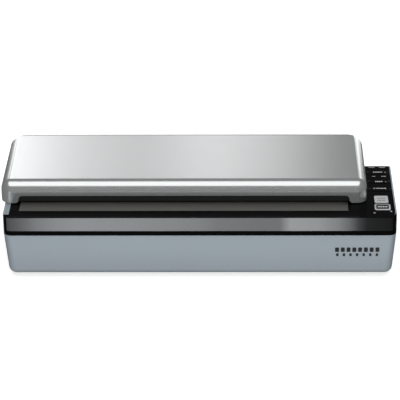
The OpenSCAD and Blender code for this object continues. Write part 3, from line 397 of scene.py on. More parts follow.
@dataclass(frozen=True)
class Finish:
    """A moulded, painted or plated surface with a fine grain and a slow drift of tone.

    Attributes:
        name: The material's name.
        color: Linear base colour.
        roughness: Middle roughness.
        metallic: 1 for metal and metallic paint.
        coat: Weight of a clear coat.
        grain: Size of the grain, in metres.
        tint: How far the tone drifts, as a share of the colour.
        bump: Depth of the grain, in metres.
        stretch: How the grain is drawn out along X, Y and Z.
        rough_drift: How far the roughness varies.
        specular: Specular level of the shader.
        glow: Light that the surface gives off, as on a lit backdrop.
    """

    name: str
    color: Color
    roughness: float
    metallic: float = 0.0
    coat: float = 0.0
    grain: float = 0.6 * MM
    tint: float = 0.05
    bump: float = 0.004 * MM
    stretch: tuple[float, float, float] = (1.0, 1.0, 1.0)
    rough_drift: float = 0.04
    specular: float = 0.5
    glow: float = 0.0
    made: ClassVar[dict[str, bpy.types.Material]] = {}

    def material(self) -> bpy.types.Material:
        """Returns the node material, built once for each name."""
        if self.name not in Finish.made:
            found = bpy.data.materials.new(self.name)
            found.use_nodes = True
            Finish.made[self.name] = found
            self.build(found.node_tree)
        return Finish.made[self.name]

    def build(self, tree: Tree) -> None:
        """Builds the node tree: colour, roughness and bump from the object's own coordinates."""
        shader = tree.nodes["Principled BSDF"]
        shader.inputs["Metallic"].default_value = self.metallic
        shader.inputs["Coat Weight"].default_value = self.coat
        shader.inputs["Specular IOR Level"].default_value = self.specular
        if self.glow > 0:
            shader.inputs["Emission Color"].default_value = (1, 1, 1, 1)
            shader.inputs["Emission Strength"].default_value = self.glow
        place = self.place(tree)
        drift = self.noise(tree, place, 60 * MM, 2.0)
        grain = self.noise(tree, place, self.grain, 3.0)
        self.color_from(tree, drift, grain, shader)
        low, high = self.roughness - self.rough_drift, self.roughness + self.rough_drift
        tree.links.new(self.remap(tree, grain, low, high), shader.inputs["Roughness"])
        self.bump_from(tree, grain, shader)

    def place(self, tree: Tree) -> Socket:
        """Returns object coordinates, drawn out by the stretch."""
        mapping = add_node(tree, "Mapping", Scale=self.stretch)
        tree.links.new(add_node(tree, "TexCoord").outputs["Object"], mapping.inputs["Vector"])
        return mapping.outputs["Vector"]

    def noise(self, tree: Tree, place: Socket, size: float, detail: float) -> Socket:
        """Returns the height of a noise texture whose features are about size across."""
        node = add_node(tree, "TexNoise", Scale=1.0 / size, Detail=detail)
        tree.links.new(place, node.inputs["Vector"])
        return node.outputs["Fac"]

    def bands(self, tree: Tree, direction: str, pitch: float) -> Socket:
        """Returns the height of ridges across one axis, a pitch apart."""
        wave = add_node(tree, "TexWave", Scale=0.314 / pitch)
        wave.bands_direction = direction
        tree.links.new(self.place(tree), wave.inputs["Vector"])
        return wave.outputs["Fac"]

    def remap(self, tree: Tree, value: Socket, low: float, high: float) -> Socket:
        """Returns the value with its usual middle range spread from low to high."""
        node = add_node(tree, "MapRange", From_Min=0.3, From_Max=0.7, To_Min=max(low, 0.02), To_Max=high)
        tree.links.new(value, node.inputs["Value"])
        return node.outputs["Result"]

    def ramp(self, tree: Tree, value: Socket, stops: Sequence[tuple[float, float]], shader: Node) -> None:
        """Feeds the shader's colour from a value, through stops of place and share of the base colour."""
        ramp = add_node(tree, "ValToRGB")
        while len(ramp.color_ramp.elements) < len(stops):
            ramp.color_ramp.elements.new(0.5)
        for element, (place, share) in zip(ramp.color_ramp.elements, stops):
            element.position = place
            element.color = tuple(min(c * share, 1.0) for c in self.color) + (1.0,)
        tree.links.new(value, ramp.inputs["Fac"])
        tree.links.new(ramp.outputs["Color"], shader.inputs["Base Color"])

    def color_from(self, tree: Tree, drift: Socket, grain: Socket, shader: Node) -> None:
        """Feeds the shader's colour from the slow drift and the fine grain."""
        blend = add_node(tree, "Math")
        blend.operation = "MULTIPLY_ADD"
        blend.inputs[1].default_value = 0.6
        tree.links.new(grain, blend.inputs[0])
        tree.links.new(self.remap(tree, drift, 0.02, 0.4), blend.inputs[2])
        stops = (0.25, 1.0 - self.tint), (0.75, 1.0 + self.tint)
        self.ramp(tree, blend.outputs["Value"], stops, shader)

    def bump_from(self, tree: Tree, height: Socket, shader: Node) -> None:
        """Feeds the shader's normal from a height."""
        bump = add_node(tree, "Bump", Strength=1.0, Distance=self.bump)
        tree.links.new(height, bump.inputs["Height"])
        tree.links.new(bump.outputs["Normal"], shader.inputs["Normal"])


@dataclass(frozen=True)
class PaintedReflectionStrip(Finish):
    """Dark strip along X whose colour carries a painted reflection: it brightens and darkens along X as the
    studio's reflections do on the band, and is darkest at both ends.

    Attributes:
        stops: X in millimetres and share of the full tone there, from left to right; the shares paint the
            band's reflections.
    """

    stops: tuple[tuple[float, float], ...] = ()

    def color_from(self, tree: Tree, drift: Socket, grain: Socket, shader: Node) -> None:
        """Feeds the shader's colour from the place along X, which paints the reflection."""
        split = add_node(tree, "SeparateXYZ")
        tree.links.new(add_node(tree, "TexCoord").outputs["Object"], split.inputs["Vector"])
        first, last = self.stops[0][0] * MM, self.stops[-1][0] * MM
        along = add_node(tree, "MapRange", From_Min=first, From_Max=last)
        tree.links.new(split.outputs["X"], along.inputs["Value"])
        stops = [((x * MM - first) / (last - first), share) for x, share in self.stops]
        self.ramp(tree, along.outputs["Result"], stops, shader)


@dataclass(frozen=True)
class Foam(Finish):
    """Closed-cell foam: small round cells."""

    def build(self, tree: Tree) -> None:
        """Adds cells to the plain grain."""
        super().build(tree)
        cells = add_node(tree, "TexVoronoi", Scale=1.0 / (0.9 * MM))
        tree.links.new(self.place(tree), cells.inputs["Vector"])
        self.bump_from(tree, cells.outputs["Distance"], tree.nodes["Principled BSDF"])


@dataclass(frozen=True)
class Woven(Finish):
    """Coated glass cloth: threads crossing in X and Y."""

    thread: float = 0.5 * MM

    def build(self, tree: Tree) -> None:
        """Adds crossing threads to the plain grain."""
        super().build(tree)
        weave = add_node(tree, "Math")
        weave.operation = "MULTIPLY"
        for i, direction in enumerate("XY"):
            tree.links.new(self.bands(tree, direction, self.thread), weave.inputs[i])
        self.bump_from(tree, weave.outputs["Value"], tree.nodes["Principled BSDF"])


@dataclass(frozen=True)
class Layered(Finish):
    """Wound wire or stacked sheets: fine ridges across one axis."""

    pitch: float = 0.5 * MM
    across: str = "X"

    def build(self, tree: Tree) -> None:
        """Adds ridges to the plain grain."""
        super().build(tree)
        self.bump_from(tree, self.bands(tree, self.across, self.pitch), tree.nodes["Principled BSDF"])


FLOOR = Finish(
    "floor", (0.80, 0.80, 0.80), 0.8, grain=3 * MM, tint=0.004, bump=0.0001 * MM, specular=0.1, glow=0.6,
)
LID_SILVER = Finish(
    "lid_silver", (0.70, 0.72, 0.72), 0.22, metallic=0.85, grain=0.35 * MM, tint=0.012,
    bump=0.0006 * MM, specular=0.3,
)
TUB_SILVER = Finish(
    "tub_silver", (0.347, 0.401, 0.44), 0.36, metallic=0.25, grain=0.35 * MM, tint=0.02,
    bump=0.001 * MM, specular=0.3,
)
KEY_SILVER = Finish("key_silver", (0.62, 0.63, 0.63), 0.32, metallic=0.4, grain=0.3 * MM, bump=0.001 * MM)
GLOSS_BLACK = Finish(
    "gloss_black", (0.002, 0.002, 0.0022), 0.12, tint=0.1, grain=2.5 * MM, bump=0.0008 * MM, rough_drift=0.02,
    specular=0.03,
)
BLACK_PLASTIC = Finish(
    "black_plastic", (0.008, 0.008, 0.0085), 0.42, grain=0.5 * MM, bump=0.010 * MM, specular=0.3,
)
BLACK_KEY = Finish("black_key", (0.010, 0.010, 0.011), 0.22, grain=0.8 * MM, bump=0.003 * MM)
RUBBER = Finish("rubber", (0.018, 0.018, 0.018), 0.68, grain=0.7 * MM, bump=0.012 * MM)
HOSE = Finish("hose", (0.055, 0.055, 0.052), 0.38, grain=1.2 * MM, bump=0.006 * MM)
STEEL = Finish("steel", (0.55, 0.55, 0.55), 0.30, metallic=1.0, grain=0.4 * MM, bump=0.002 * MM)
SATIN_PLATE = Finish(
    "satin_plate", (0.20, 0.20, 0.19), 0.36, metallic=0.5, grain=0.3 * MM, stretch=(0.04, 1.0, 1.0),
    bump=0.002 * MM,
)
HEAT_WIRE = Finish(
    "heating_wire", (0.50, 0.47, 0.43), 0.30, metallic=1.0, stretch=(0.05, 1.0, 1.0), bump=0.002 * MM,
)
TAPE = Woven("release_tape", (0.30, 0.20, 0.10), 0.45, bump=0.03 * MM)
FOAM = Foam("foam", (0.035, 0.035, 0.037), 0.85, bump=0.12 * MM)
SILICONE = Finish("silicone", (0.05, 0.05, 0.05), 0.5, grain=1.0 * MM, bump=0.006 * MM)
# Painted reflection: the shares along X copy the brighter and darker studio reflections seen along the front
# band, with a bright step at X 92 mm.
STRIP_PAINTED_REFLECTION = PaintedReflectionStrip(
    "smoked_strip", (0.97, 1.02, 1.04), 0.34, metallic=0.2, grain=0.4 * MM, bump=0.0008 * MM, specular=0.3,
    stops=(
        (-192, 0.067), (-182, 0.10), (-170, 0.153), (-160, 0.209), (-140, 0.266),
        (-120, 0.29), (-60, 0.27), (0, 0.23), (20, 0.191), (60, 0.171), (82, 0.168),
        (92, 0.335), (120, 0.309), (130, 0.266), (140, 0.227), (150, 0.147),
        (160, 0.047), (168, 0.012), (190, 0.005),
    ),
)
MARK = Finish("printed_mark", (0.012, 0.012, 0.013), 0.4, bump=0.001 * MM)
LEGEND = Finish("printed_legend", (0.55, 0.56, 0.56), 0.5, bump=0.001 * MM)
GREY_INK = Finish("grey_ink", (0.16, 0.16, 0.17), 0.5, bump=0.001 * MM)
DARK_LENS = Finish("dark_lens", (0.02, 0.022, 0.025), 0.12, coat=0.3, bump=0.001 * MM)
LENS = Finish("lens", (0.45, 0.48, 0.50), 0.12, coat=0.5, bump=0.001 * MM)
CIRCUIT = Finish("circuit_board", (0.02, 0.09, 0.04), 0.35, grain=1.5 * MM, tint=0.25, bump=0.02 * MM)
COMPONENT = Finish("component", (0.02, 0.02, 0.03), 0.4, grain=0.6 * MM, bump=0.008 * MM)
MOTOR_CAN = Finish(
    "motor_can", (0.48, 0.48, 0.47), 0.28, metallic=1.0, stretch=(1.0, 0.1, 0.1), bump=0.003 * MM,
)
PUMP_PLASTIC = Finish("pump_plastic", (0.03, 0.03, 0.032), 0.5, bump=0.012 * MM)
WHITE_PLASTIC = Finish("white_plastic", (0.68, 0.68, 0.64), 0.45, bump=0.008 * MM)
CORE = Layered(
    "core_sheets", (0.10, 0.10, 0.11), 0.4, metallic=0.8, bump=0.05 * MM, pitch=0.5 * MM, across="Y",
)
WINDING = Layered(
    "winding", (0.50, 0.19, 0.06), 0.3, metallic=0.9, bump=0.12 * MM, pitch=0.4 * MM, across="Z",
)
INSULATION = Finish("insulation", (0.30, 0.015, 0.012), 0.4, bump=0.004 * MM)


TUB_NODES = ("base_housing", "base_front", "base_back", "base_left", "base_right")


def middle(box: Box) -> Vector:
    """Returns the middle of a box."""
    return (box[0] + box[1]) / 2


def whole_box(nodes: Sequence[str]) -> Box:
    """Returns the lowest and highest corners of several frame nodes together."""
    boxes = [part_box(node) for node in nodes]
    low = Vector(min(box[0][i] for box in boxes) for i in range(3))
    return low, Vector(max(box[1][i] for box in boxes) for i in range(3))


def islands(node: str, gap: float = 1.0 * MM) -> list[Box]:
    """Finds the box of each separate solid of a frame node, in the order of their X.

    Args:
        node: The frame node's name.
        gap: Boxes nearer to each other than this count as one solid.

    Returns:
        The lowest and highest corner of each solid.
    """
    boxes: list[Box] = []
    mesh = frame["nodes"][node].data
    for face in mesh.polygons:
        points = [mesh.vertices[i].co for i in face.vertices]
        low = Vector(min(p[i] for p in points) for i in range(3))
        high = Vector(max(p[i] for p in points) for i in range(3))
        touching = [
            b for b in boxes if all(b[0][i] < high[i] + gap and b[1][i] > low[i] - gap for i in range(3))
        ]
        for box in touching:
            boxes.remove(box)
            low = Vector(min(low[i], box[0][i]) for i in range(3))
            high = Vector(max(high[i], box[1][i]) for i in range(3))
        boxes.append((low, high))
    return sorted(boxes, key=lambda box: (round(box[0].x, 4), round(box[0].y, 4)))


@dataclass
class Layout:
    """Places that several sub-assemblies share, read from the frame."""

    rim_left: float = 6.0 * MM
    slope_run: float = 26.0 * MM
    lobe: float = 9.8 * MM
    trough: float = 12.0 * MM
    deck_skin: float = 3.0 * MM
    lid_gap: float = 1.0 * MM

    def __post_init__(self) -> None:
        """Reads the shared corners and works out the shared heights and the hinge axis."""
        self.lid_low, self.lid_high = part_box("lid_cover")
        self.tub_low, self.tub_high = whole_box(TUB_NODES)
        hinge = next(j for j in frame["joints"] if j["name"] == "lid_hinge")
        self.axis = Vector(hinge["pos_m"])
        self.deck_top = self.tub_high.z
        self.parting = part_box("deck")[0].z
        self.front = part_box("front_trim")[0].y
        self.slope_y = self.axis.y - self.slope_run
        self.deck_left = self.tub_low.x + self.rim_left

    def tangent(self, y: float, z: float, radius: float) -> tuple[float, float, float]:
        """Finds the straight slope from a point down to a circle round the hinge axis.

        Args:
            y: The point's Y.
            z: The point's Z.
            radius: The circle's radius.

        Returns:
            The slope's angle, and the Y and Z of the point where it meets the circle.
        """
        away = Vector((self.axis.y - y, self.axis.z - z))
        angle = math.atan2(away.y, away.x) - math.asin(radius / away.length)
        return angle, self.axis.y + radius * math.sin(angle), self.axis.z - radius * math.cos(angle)


@dataclass
class LidShell:
    """The silver cover: a rolled top edge, a leg at each end of a finger notch, a lobe round the hinge."""

    at: Layout
    wall: float = 2.2 * MM
    edge: float = 10.4 * MM
    front_corner: float = 10.6 * MM
    back_corner: float = 16.0 * MM
    notch_rise: float = 8.1 * MM
    notch_curve: float = 4.05 * MM
    leg_foot: float = 13.8 * MM
    slot_half: float = 7.0 * MM
    slot_inset: float = 13.0 * MM
    slot_rise: float = 8.0 * MM
    slot_round: float = 2.0 * MM
    ramp_step: float = 2.0 * MM

    def build(self) -> Piece:
        """Models the cover and dresses it."""
        at = self.at
        under = at.deck_top + at.lid_gap
        shell = self.form(under)
        shell.joined(Join.CUT, self.cavity(under), self.notch_tool(under), *self.hinge_tools())
        shell.softened(0.45 * MM, 3)
        return shell.dressed(LID_SILVER, "lid", "silver_lid", ["lid_cover"])

    def form(self, under: float) -> Piece:
        """Models the cover's outside as one solid."""
        at = self.at
        low, high = at.lid_low, at.lid_high
        ramp_y = at.slope_y + self.ramp_step
        angle, touch_y, touch_z = at.tangent(ramp_y, under, at.lobe)
        corner_y = touch_y + (touch_z - low.z) / math.tan(-angle)
        form = Piece.block("lid_cover_shell", (low.x, low.y, under), (high.x, ramp_y, high.z))
        form.faces(lambda c, n: n.y > FACING, drawing_out(y=corner_y - ramp_y))
        form.points(lambda p: p.y > corner_y - SEAM and p.z < under + SEAM, pushing(z=low.z - under))
        form.faces(lambda c, n: n.y > FACING, drawing_out(y=high.y - corner_y))
        form.edges(lambda a, b: lies_on(a, b, high.y, low.z), rounding(at.lobe, 12))
        form.edges(lambda a, b: lies_on(a, b, corner_y, low.z), rounding(at.lobe * math.tan(-angle / 2), 5))
        form.joined(Join.KEEP, self.plan("lid_plan", 0.0)).flattened()
        return form.edges(lambda a, b: min(a.z, b.z) > high.z - SEAM, rounding(self.edge, 14))

    def plan(self, name: str, inset: float) -> Piece:
        """Models an upright prism of the cover's outline, drawn in by the inset."""
        at = self.at
        low, high = at.lid_low, at.lid_high
        front, back = low.y + inset, high.y - inset
        prism = Piece.block(name, (low.x + inset, front, 0.0), (high.x - inset, back, high.z + OVER))
        prism.edges(lambda a, b: stands_at(a, b, front), rounding(self.front_corner - inset, 14))
        return prism.edges(lambda a, b: stands_at(a, b, back), rounding(self.back_corner - inset, 16))

    def cavity(self, under: float) -> Piece:
        """Models the space inside the cover, down past its open underside and round the hinge axis."""
        at = self.at
        low, high = at.lid_low, at.lid_high
        _, touch_y, _ = at.tangent(at.slope_y + self.ramp_step, under, at.lobe)
        roof = high.z - self.wall
        space = Piece.block("lid_space", (low.x, low.y, 20 * MM), (high.x, touch_y, at.axis.z))
        bore = Piece.rod(
            "lobe_space", (low.x, at.axis.y, at.axis.z), (high.x, at.axis.y, at.axis.z),
            at.lobe - self.wall, 64,
        )
        space.faces(lambda c, n: n.z > FACING, drawing_out(z=roof - at.axis.z))
        back = at.axis.y + at.lobe - self.wall
        space.faces(lambda c, n: n.y > FACING and c.z > at.axis.z, drawing_out(y=back - touch_y))
        space.joined(Join.ADD, bore)
        space.joined(Join.KEEP, self.plan("lid_space_plan", self.wall)).flattened()
        return space.edges(lambda a, b: min(a.z, b.z) > roof - SEAM, rounding(self.edge - self.wall, 10))

    def notch_tool(self, under: float) -> Piece:
        """Models the tool that cuts the finger notch, with an S curve at each end."""
        at = self.at
        low, high = at.lid_low, at.lid_high
        feet = low.x + self.leg_foot, high.x - self.leg_foot
        ends = feet[0] + self.notch_curve, feet[1] - self.notch_curve
        tool = Piece.block("notch_tool", (feet[0], low.y - 9 * MM, 20 * MM), (feet[1], low.y + 9 * MM, under))
        for x in ends:
            tool.sliced((x, 0, 0), (1, 0, 0))
        tool.faces(lambda c, n: n.z > FACING and ends[0] < c.x < ends[1], drawing_out(z=self.notch_rise))
        return tool.edges(
            lambda a, b: any(max(abs(a.x - x), abs(b.x - x)) < SEAM for x in ends)
            and abs(a.z - b.z) < SEAM and a.z > under - SEAM,
            rounding(self.notch_curve * 0.99, 8),
        )

    def hinge_tools(self) -> list[Piece]:
        """Models the tools that open the lobe round each hinge lug."""
        at = self.at
        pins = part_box("hinge_pins")
        ends = pins[0].x + self.slot_inset, pins[1].x - self.slot_inset
        top = at.axis.z + self.slot_rise
        return [
            Piece.block(
                f"lobe_tool_{i}", (x - self.slot_half, at.axis.y - 2 * self.slot_rise, 0.0),
                (x + self.slot_half, at.lid_high.y + OVER, top),
            ).edges(
                lambda a, b: min(a.z, b.z) > top - MM and abs(a.x - b.x) < SEAM, rounding(self.slot_round, 4)
            )
            for i, x in enumerate(ends)
        ]


@dataclass
class Tub:
    """The silver lower housing: drafted walls, a rounded bottom edge and openings for what passes through."""

    at: Layout
    wall: float = 2.5 * MM
    corner: float = 8.0 * MM
    bottom_edge: float = 6.0 * MM
    draft: float = math.radians(4.7)
    band_wrap: float = 7.0 * MM
    window_gap: float = 0.3 * MM
    window_round: float = 1.2 * MM
    reach: float = 9.0 * MM
    port_radius: float = 6.0 * MM
    well_radius: float = 3.5 * MM
    slots: int = 10
    slot_low: Point = (-1.5 * MM, -12.0 * MM, -OVER)
    slot_high: Point = (1.5 * MM, 14.0 * MM, 8.0 * MM)
    slot_round: float = 1.4 * MM

    def build(self) -> Piece:
        """Models the tub and dresses it."""
        at = self.at
        low, high = at.tub_low, at.tub_high
        parting = at.parting
        lean = (parting - low.z) * math.tan(self.draft)
        tub = Piece.block("tub_shell", low, (high.x, high.y, parting))
        for sign, face in ((1, low.x), (-1, high.x)):
            tub.points(lambda p: p.z < low.z + SEAM and abs(p.x - face) < SEAM, pushing(x=sign * lean))
        tub.points(lambda p: p.z < low.z + SEAM and p.y < low.y + SEAM, pushing(y=lean))
        tub.faces(lambda c, n: n.z > FACING, drawing_out(z=at.deck_top - parting))
        tub.edges(lambda a, b: abs(a.z - b.z) > MM, rounding(self.corner, 10))
        tub.edges(lambda a, b: max(a.z, b.z) < low.z + SEAM, rounding(self.bottom_edge, 8))
        tub.faces(lambda c, n: n.z > FACING, lambda: bpy.ops.mesh.delete(type="FACE"))
        tub.hollowed(self.wall)
        rim = Piece.block(
            "rim", (low.x + MM, low.y + self.band_wrap, at.deck_top - at.deck_skin),
            (at.deck_left, high.y - MM, at.deck_top),
        )
        tub.joined(Join.ADD, rim)
        band_back = at.front + self.band_wrap
        tub.joined(
            Join.CUT,
            Piece.block("band_tool", (low.x - OVER, low.y - OVER, parting), (high.x + OVER, band_back, FAR)),
            *self.slope_tools(),
            *self.side_tools(),
            *self.back_tools(),
            *self.bottom_tools(),
        )
        for node in ("canister_port", "power_inlet"):
            tub.sliced(middle(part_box(node)), (1, 0, 0))
        tub.softened(0.35 * MM, 2)
        return tub.dressed(TUB_SILVER, "base", "silver_tub", TUB_NODES)

    def slope_tools(self) -> list[Piece]:
        """Models the tools that shape the top of the side walls behind the deck."""
        at = self.at
        low, high = at.tub_low, at.tub_high
        angle, touch_y, touch_z = at.tangent(at.slope_y, at.deck_top, at.trough)
        left, right = low.x - OVER, high.x + OVER
        ramp = Piece.block("ramp_tool", (left, at.slope_y, touch_z), (right, at.axis.y, FAR))
        ramp.points(
            lambda p: p.y < at.slope_y + SEAM and p.z < touch_z + SEAM, pushing(z=at.deck_top - touch_z)
        )
        ramp.points(lambda p: p.y > at.axis.y - SEAM and p.z < touch_z + SEAM, pushing(y=touch_y - at.axis.y))
        ramp.points(lambda p: p.y > touch_y - SEAM and p.z > 0.5, pushing(y=touch_y - at.axis.y))
        axis_y, axis_z = at.axis.y, at.axis.z
        drum = Piece.rod("drum_tool", (left, axis_y, axis_z), (right, axis_y, axis_z), at.trough, 96)
        rest = Piece.block("rest_tool", (left, touch_y, at.axis.z), (right, high.y + OVER, FAR))
        return [ramp, drum, rest]

    def side_tools(self) -> list[Piece]:
        """Models the tools for the two release windows."""
        at = self.at
        tools = []
        for node in ("release_left", "release_right"):
            low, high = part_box(node)
            face = at.tub_low.x if node.endswith("left") else at.tub_high.x
            gap = Vector((0, self.window_gap, self.window_gap))
            low, high = low - gap, high + gap
            tool = Piece.block(f"{node}_tool", (face - OVER, low.y, low.z), (face + OVER, high.y, high.z))
            tools.append(tool.edges(lambda a, b: abs(a.x - b.x) > MM, rounding(self.window_round, 4)))
        return tools

    def back_tools(self) -> list[Piece]:
        """Models the tools for the hose port and the power inlet."""
        port = middle(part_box("canister_port"))
        low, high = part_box("power_inlet")
        back = self.at.tub_high.y
        inner, outer = back - self.reach, back + OVER
        return [
            Piece.rod("port_tool", (port.x, inner, port.z), (port.x, outer, port.z), self.port_radius, 48),
            Piece.block("inlet_tool", (low.x, inner, low.z), (high.x, outer, high.z)),
        ]

    def bottom_tools(self) -> list[Piece]:
        """Models the tools for the screw wells and a row of cooling slots."""
        tools = []
        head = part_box("base_screws")[0].z
        for i, place in enumerate(middle(box) for box in islands("base_screws")):
            foot, top = (place.x, place.y, -OVER), (place.x, place.y, head)
            tools.append(Piece.rod(f"well_tool_{i}", foot, top, self.well_radius, 32))
        for i in range(self.slots):
            shift = Vector(((i - (self.slots - 1) / 2) * self.reach, 0, 0))
            low, high = Vector(self.slot_low) + shift, Vector(self.slot_high) + shift
            tool = Piece.block(f"slot_tool_{i}", low, high)
            tools.append(tool.edges(lambda a, b: abs(a.z - b.z) > MM, rounding(self.slot_round, 4)))
        return tools


@dataclass
class Carried:
    """A frame node whose form is right, copied so that its edges can be rounded as a mould leaves them."""

    node: str
    finish: Finish
    body: str
    slot: str
    edge: float = 0.3 * MM
    steps: int = 2

    def build(self) -> list[Piece]:
        """Copies the node, rounds its edges and dresses it."""
        piece = Piece.from_node(f"{self.node}_form", self.node).softened(self.edge, self.steps)
        return [piece.dressed(self.finish, self.body, self.slot, [self.node])]


@dataclass
class RestPlate:
    """The satin plate that the bag lies on: a shallow tray with turned-up ends."""

    lip: float = 1.6 * MM
    sink: float = 0.25 * MM

    def build(self) -> list[Piece]:
        """Models the plate and dresses it."""
        low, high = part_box("bag_rest_plate")
        plate = Piece.block("bag_rest_plate_form", low, high)
        plate.faces(lambda c, n: n.z > FACING, insetting(self.lip, self.sink))
        plate.softened(0.12 * MM, 2)
        return [plate.dressed(SATIN_PLATE, "base", "satin_plate", ["bag_rest_plate"])]


@dataclass
class Mark:
    """A thin printed sign made of short strokes, which stands for a word without being one.

    Attributes:
        name: The piece's name.
        body: The body that it is printed on.
        left: X of its left end.
        right: X of its right end.
        y: Middle of its height on the panel.
        top: Height of the surface that it is printed on.
        strokes: Number of strokes.
        tall: Length of a stroke along Y.
        fill: Share of the width that ink covers.
        ink: Thickness of the print above and below the surface.
    """

    name: str
    body: str
    left: float
    right: float
    y: float
    top: float
    strokes: int
    tall: float
    fill: float = 0.62
    ink: float = 0.05 * MM

    def build(self, finish: Finish, slot: str) -> Piece:
        """Models one stroke, rounds its corners, copies it along the line and joins the copies."""
        pitch = (self.right - self.left) / self.strokes
        wide = pitch * self.fill
        x0 = self.left + (pitch - wide) / 2
        low = (x0, self.y - self.tall / 2, self.top - self.ink)
        first = Piece.block(self.name, low, (x0 + wide, self.y + self.tall / 2, self.top + self.ink))
        first.edges(lambda a, b: abs(a.z - b.z) > self.ink, rounding(min(wide, self.tall) * 0.3, 2))
        return first.repeated(self.strokes, (pitch, 0, 0)).smoothed().dressed(finish, self.body, slot)


# Name, body, left and right from the panel's left edge, Y, strokes, their length and fill; in millimetres.
PANEL_SIGNS = (
    ("seal_time_a", "base", 3.1, 9.5, 38.7, 5, 1.4, 0.62),
    ("seal_time_b", "base", 13.8, 20.2, 38.7, 5, 1.4, 0.62),
    ("speed", "speed_key", 7.0, 17.0, 26.6, 6, 2.2, 0.62),
    ("speed_dot", "speed_key", 19.0, 20.3, 26.2, 1, 1.2, 0.9),
    ("low", "base", 5.7, 9.0, 17.1, 3, 1.5, 0.62),
    ("high", "base", 15.0, 19.9, 17.1, 4, 1.5, 0.62),
    ("food", "food_key", 8.0, 16.0, 4.0, 4, 2.4, 0.62),
    ("food_dot", "food_key", 18.2, 19.4, 3.4, 1, 1.1, 0.9),
    ("canister", "canister_key", 8.5, 18.7, -12.1, 7, 2.0, 0.62),
)
# Name, button, half width, Y from its middle, strokes, their length, finish and slot; in millimetres.
BUTTON_SIGNS = (
    ("seal_0", "seal_button", 4.2, 2.2, 5, 2.4, GREY_INK, "silver_key"),
    ("seal_1", "seal_button", 4.2, -2.6, 6, 2.4, GREY_INK, "silver_key"),
    ("start", "start_button", 5.0, 0.0, 6, 3.0, LEGEND, "black_plastic"),
)


@dataclass
class ControlPanel:
    """The gloss black fascia with its printed signs, lamps, three touch keys and two silver buttons."""

    dish: float = 0.35 * MM
    dish_margin: float = 1.1 * MM
    button_edge: float = 0.55 * MM

    def build(self) -> list[Piece]:
        """Models the panel's pieces and dresses them."""
        made = Carried("control_fascia", GLOSS_BLACK, "base", "gloss_black", 0.15 * MM).build()
        for key in ("speed_key", "food_key", "canister_key"):
            made += Carried(key, GLOSS_BLACK, key, "gloss_black", 0.18 * MM).build()
        made.append(self.button("seal_button", KEY_SILVER, "silver_key"))
        made.append(self.button("start_button", BLACK_KEY, "black_plastic"))
        made += Carried("start_button_frame", KEY_SILVER, "base", "silver_key", 0.22 * MM, 3).build()
        return made + self.lamps() + self.signs()

    def button(self, node: str, finish: Finish, slot: str) -> Piece:
        """Models a button whose top is dished for the fingertip."""
        form = Piece.from_node(f"{node}_form", node)
        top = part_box(node)[1].z
        form.faces(lambda c, n: n.z > FACING and c.z > top - SEAM, insetting(self.dish_margin, self.dish))
        form.softened(self.button_edge * 0.5, 3)
        return form.dressed(finish, node, slot, [node])

    def lamps(self) -> list[Piece]:
        """Models each lamp as a low dome in its hole."""
        made = []
        lit_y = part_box("start_button")[0].y
        for i, (low, high) in enumerate(islands("indicator_lenses")):
            mid = (low + high) / 2
            radius = (high.x - low.x) / 2
            lamp = Piece.rod(f"lamp_{i}", (mid.x, mid.y, low.z), (mid.x, mid.y, high.z), radius, 24)
            lamp.edges(lambda a, b: min(a.z, b.z) > high.z - SEAM, rounding(0.6 * MM, 4)).smoothed(50)
            made.append(lamp.dressed(LENS if mid.y < lit_y else DARK_LENS, "base", "lens"))
        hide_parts("indicator_lenses")
        return made

    def signs(self) -> list[Piece]:
        """Prints the panel's signs: strokes in rows, a ring, and strokes on the buttons."""
        low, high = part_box("control_fascia")
        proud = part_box("speed_key")[1].z
        made = []
        for name, body, left, right, y, strokes, tall, fill in PANEL_SIGNS:
            ends, top = (low.x + left * MM, low.x + right * MM), high.z if body == "base" else proud
            mark = Mark(f"sign_{name}", body, *ends, y * MM, top, strokes, tall * MM, fill)
            made.append(mark.build(LEGEND, "gloss_black"))
        ring = Piece.ring("sign_ring", (low.x + 6.4 * MM, -12.1 * MM, proud), 0.9 * MM, 0.2 * MM)
        ring.trimmed((0, 0, proud + 0.05 * MM), (0, 0, 1))
        made.append(ring.smoothed().dressed(LEGEND, "canister_key", "gloss_black"))
        for name, button, half, rise, strokes, tall, ink, slot in BUTTON_SIGNS:
            mid, top = middle(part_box(button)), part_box(button)[1].z - self.dish
            ends = mid.x - half * MM, mid.x + half * MM
            mark = Mark(f"sign_{name}", button, *ends, mid.y + rise * MM, top, strokes, tall * MM)
            made.append(mark.build(ink, slot))
        return made


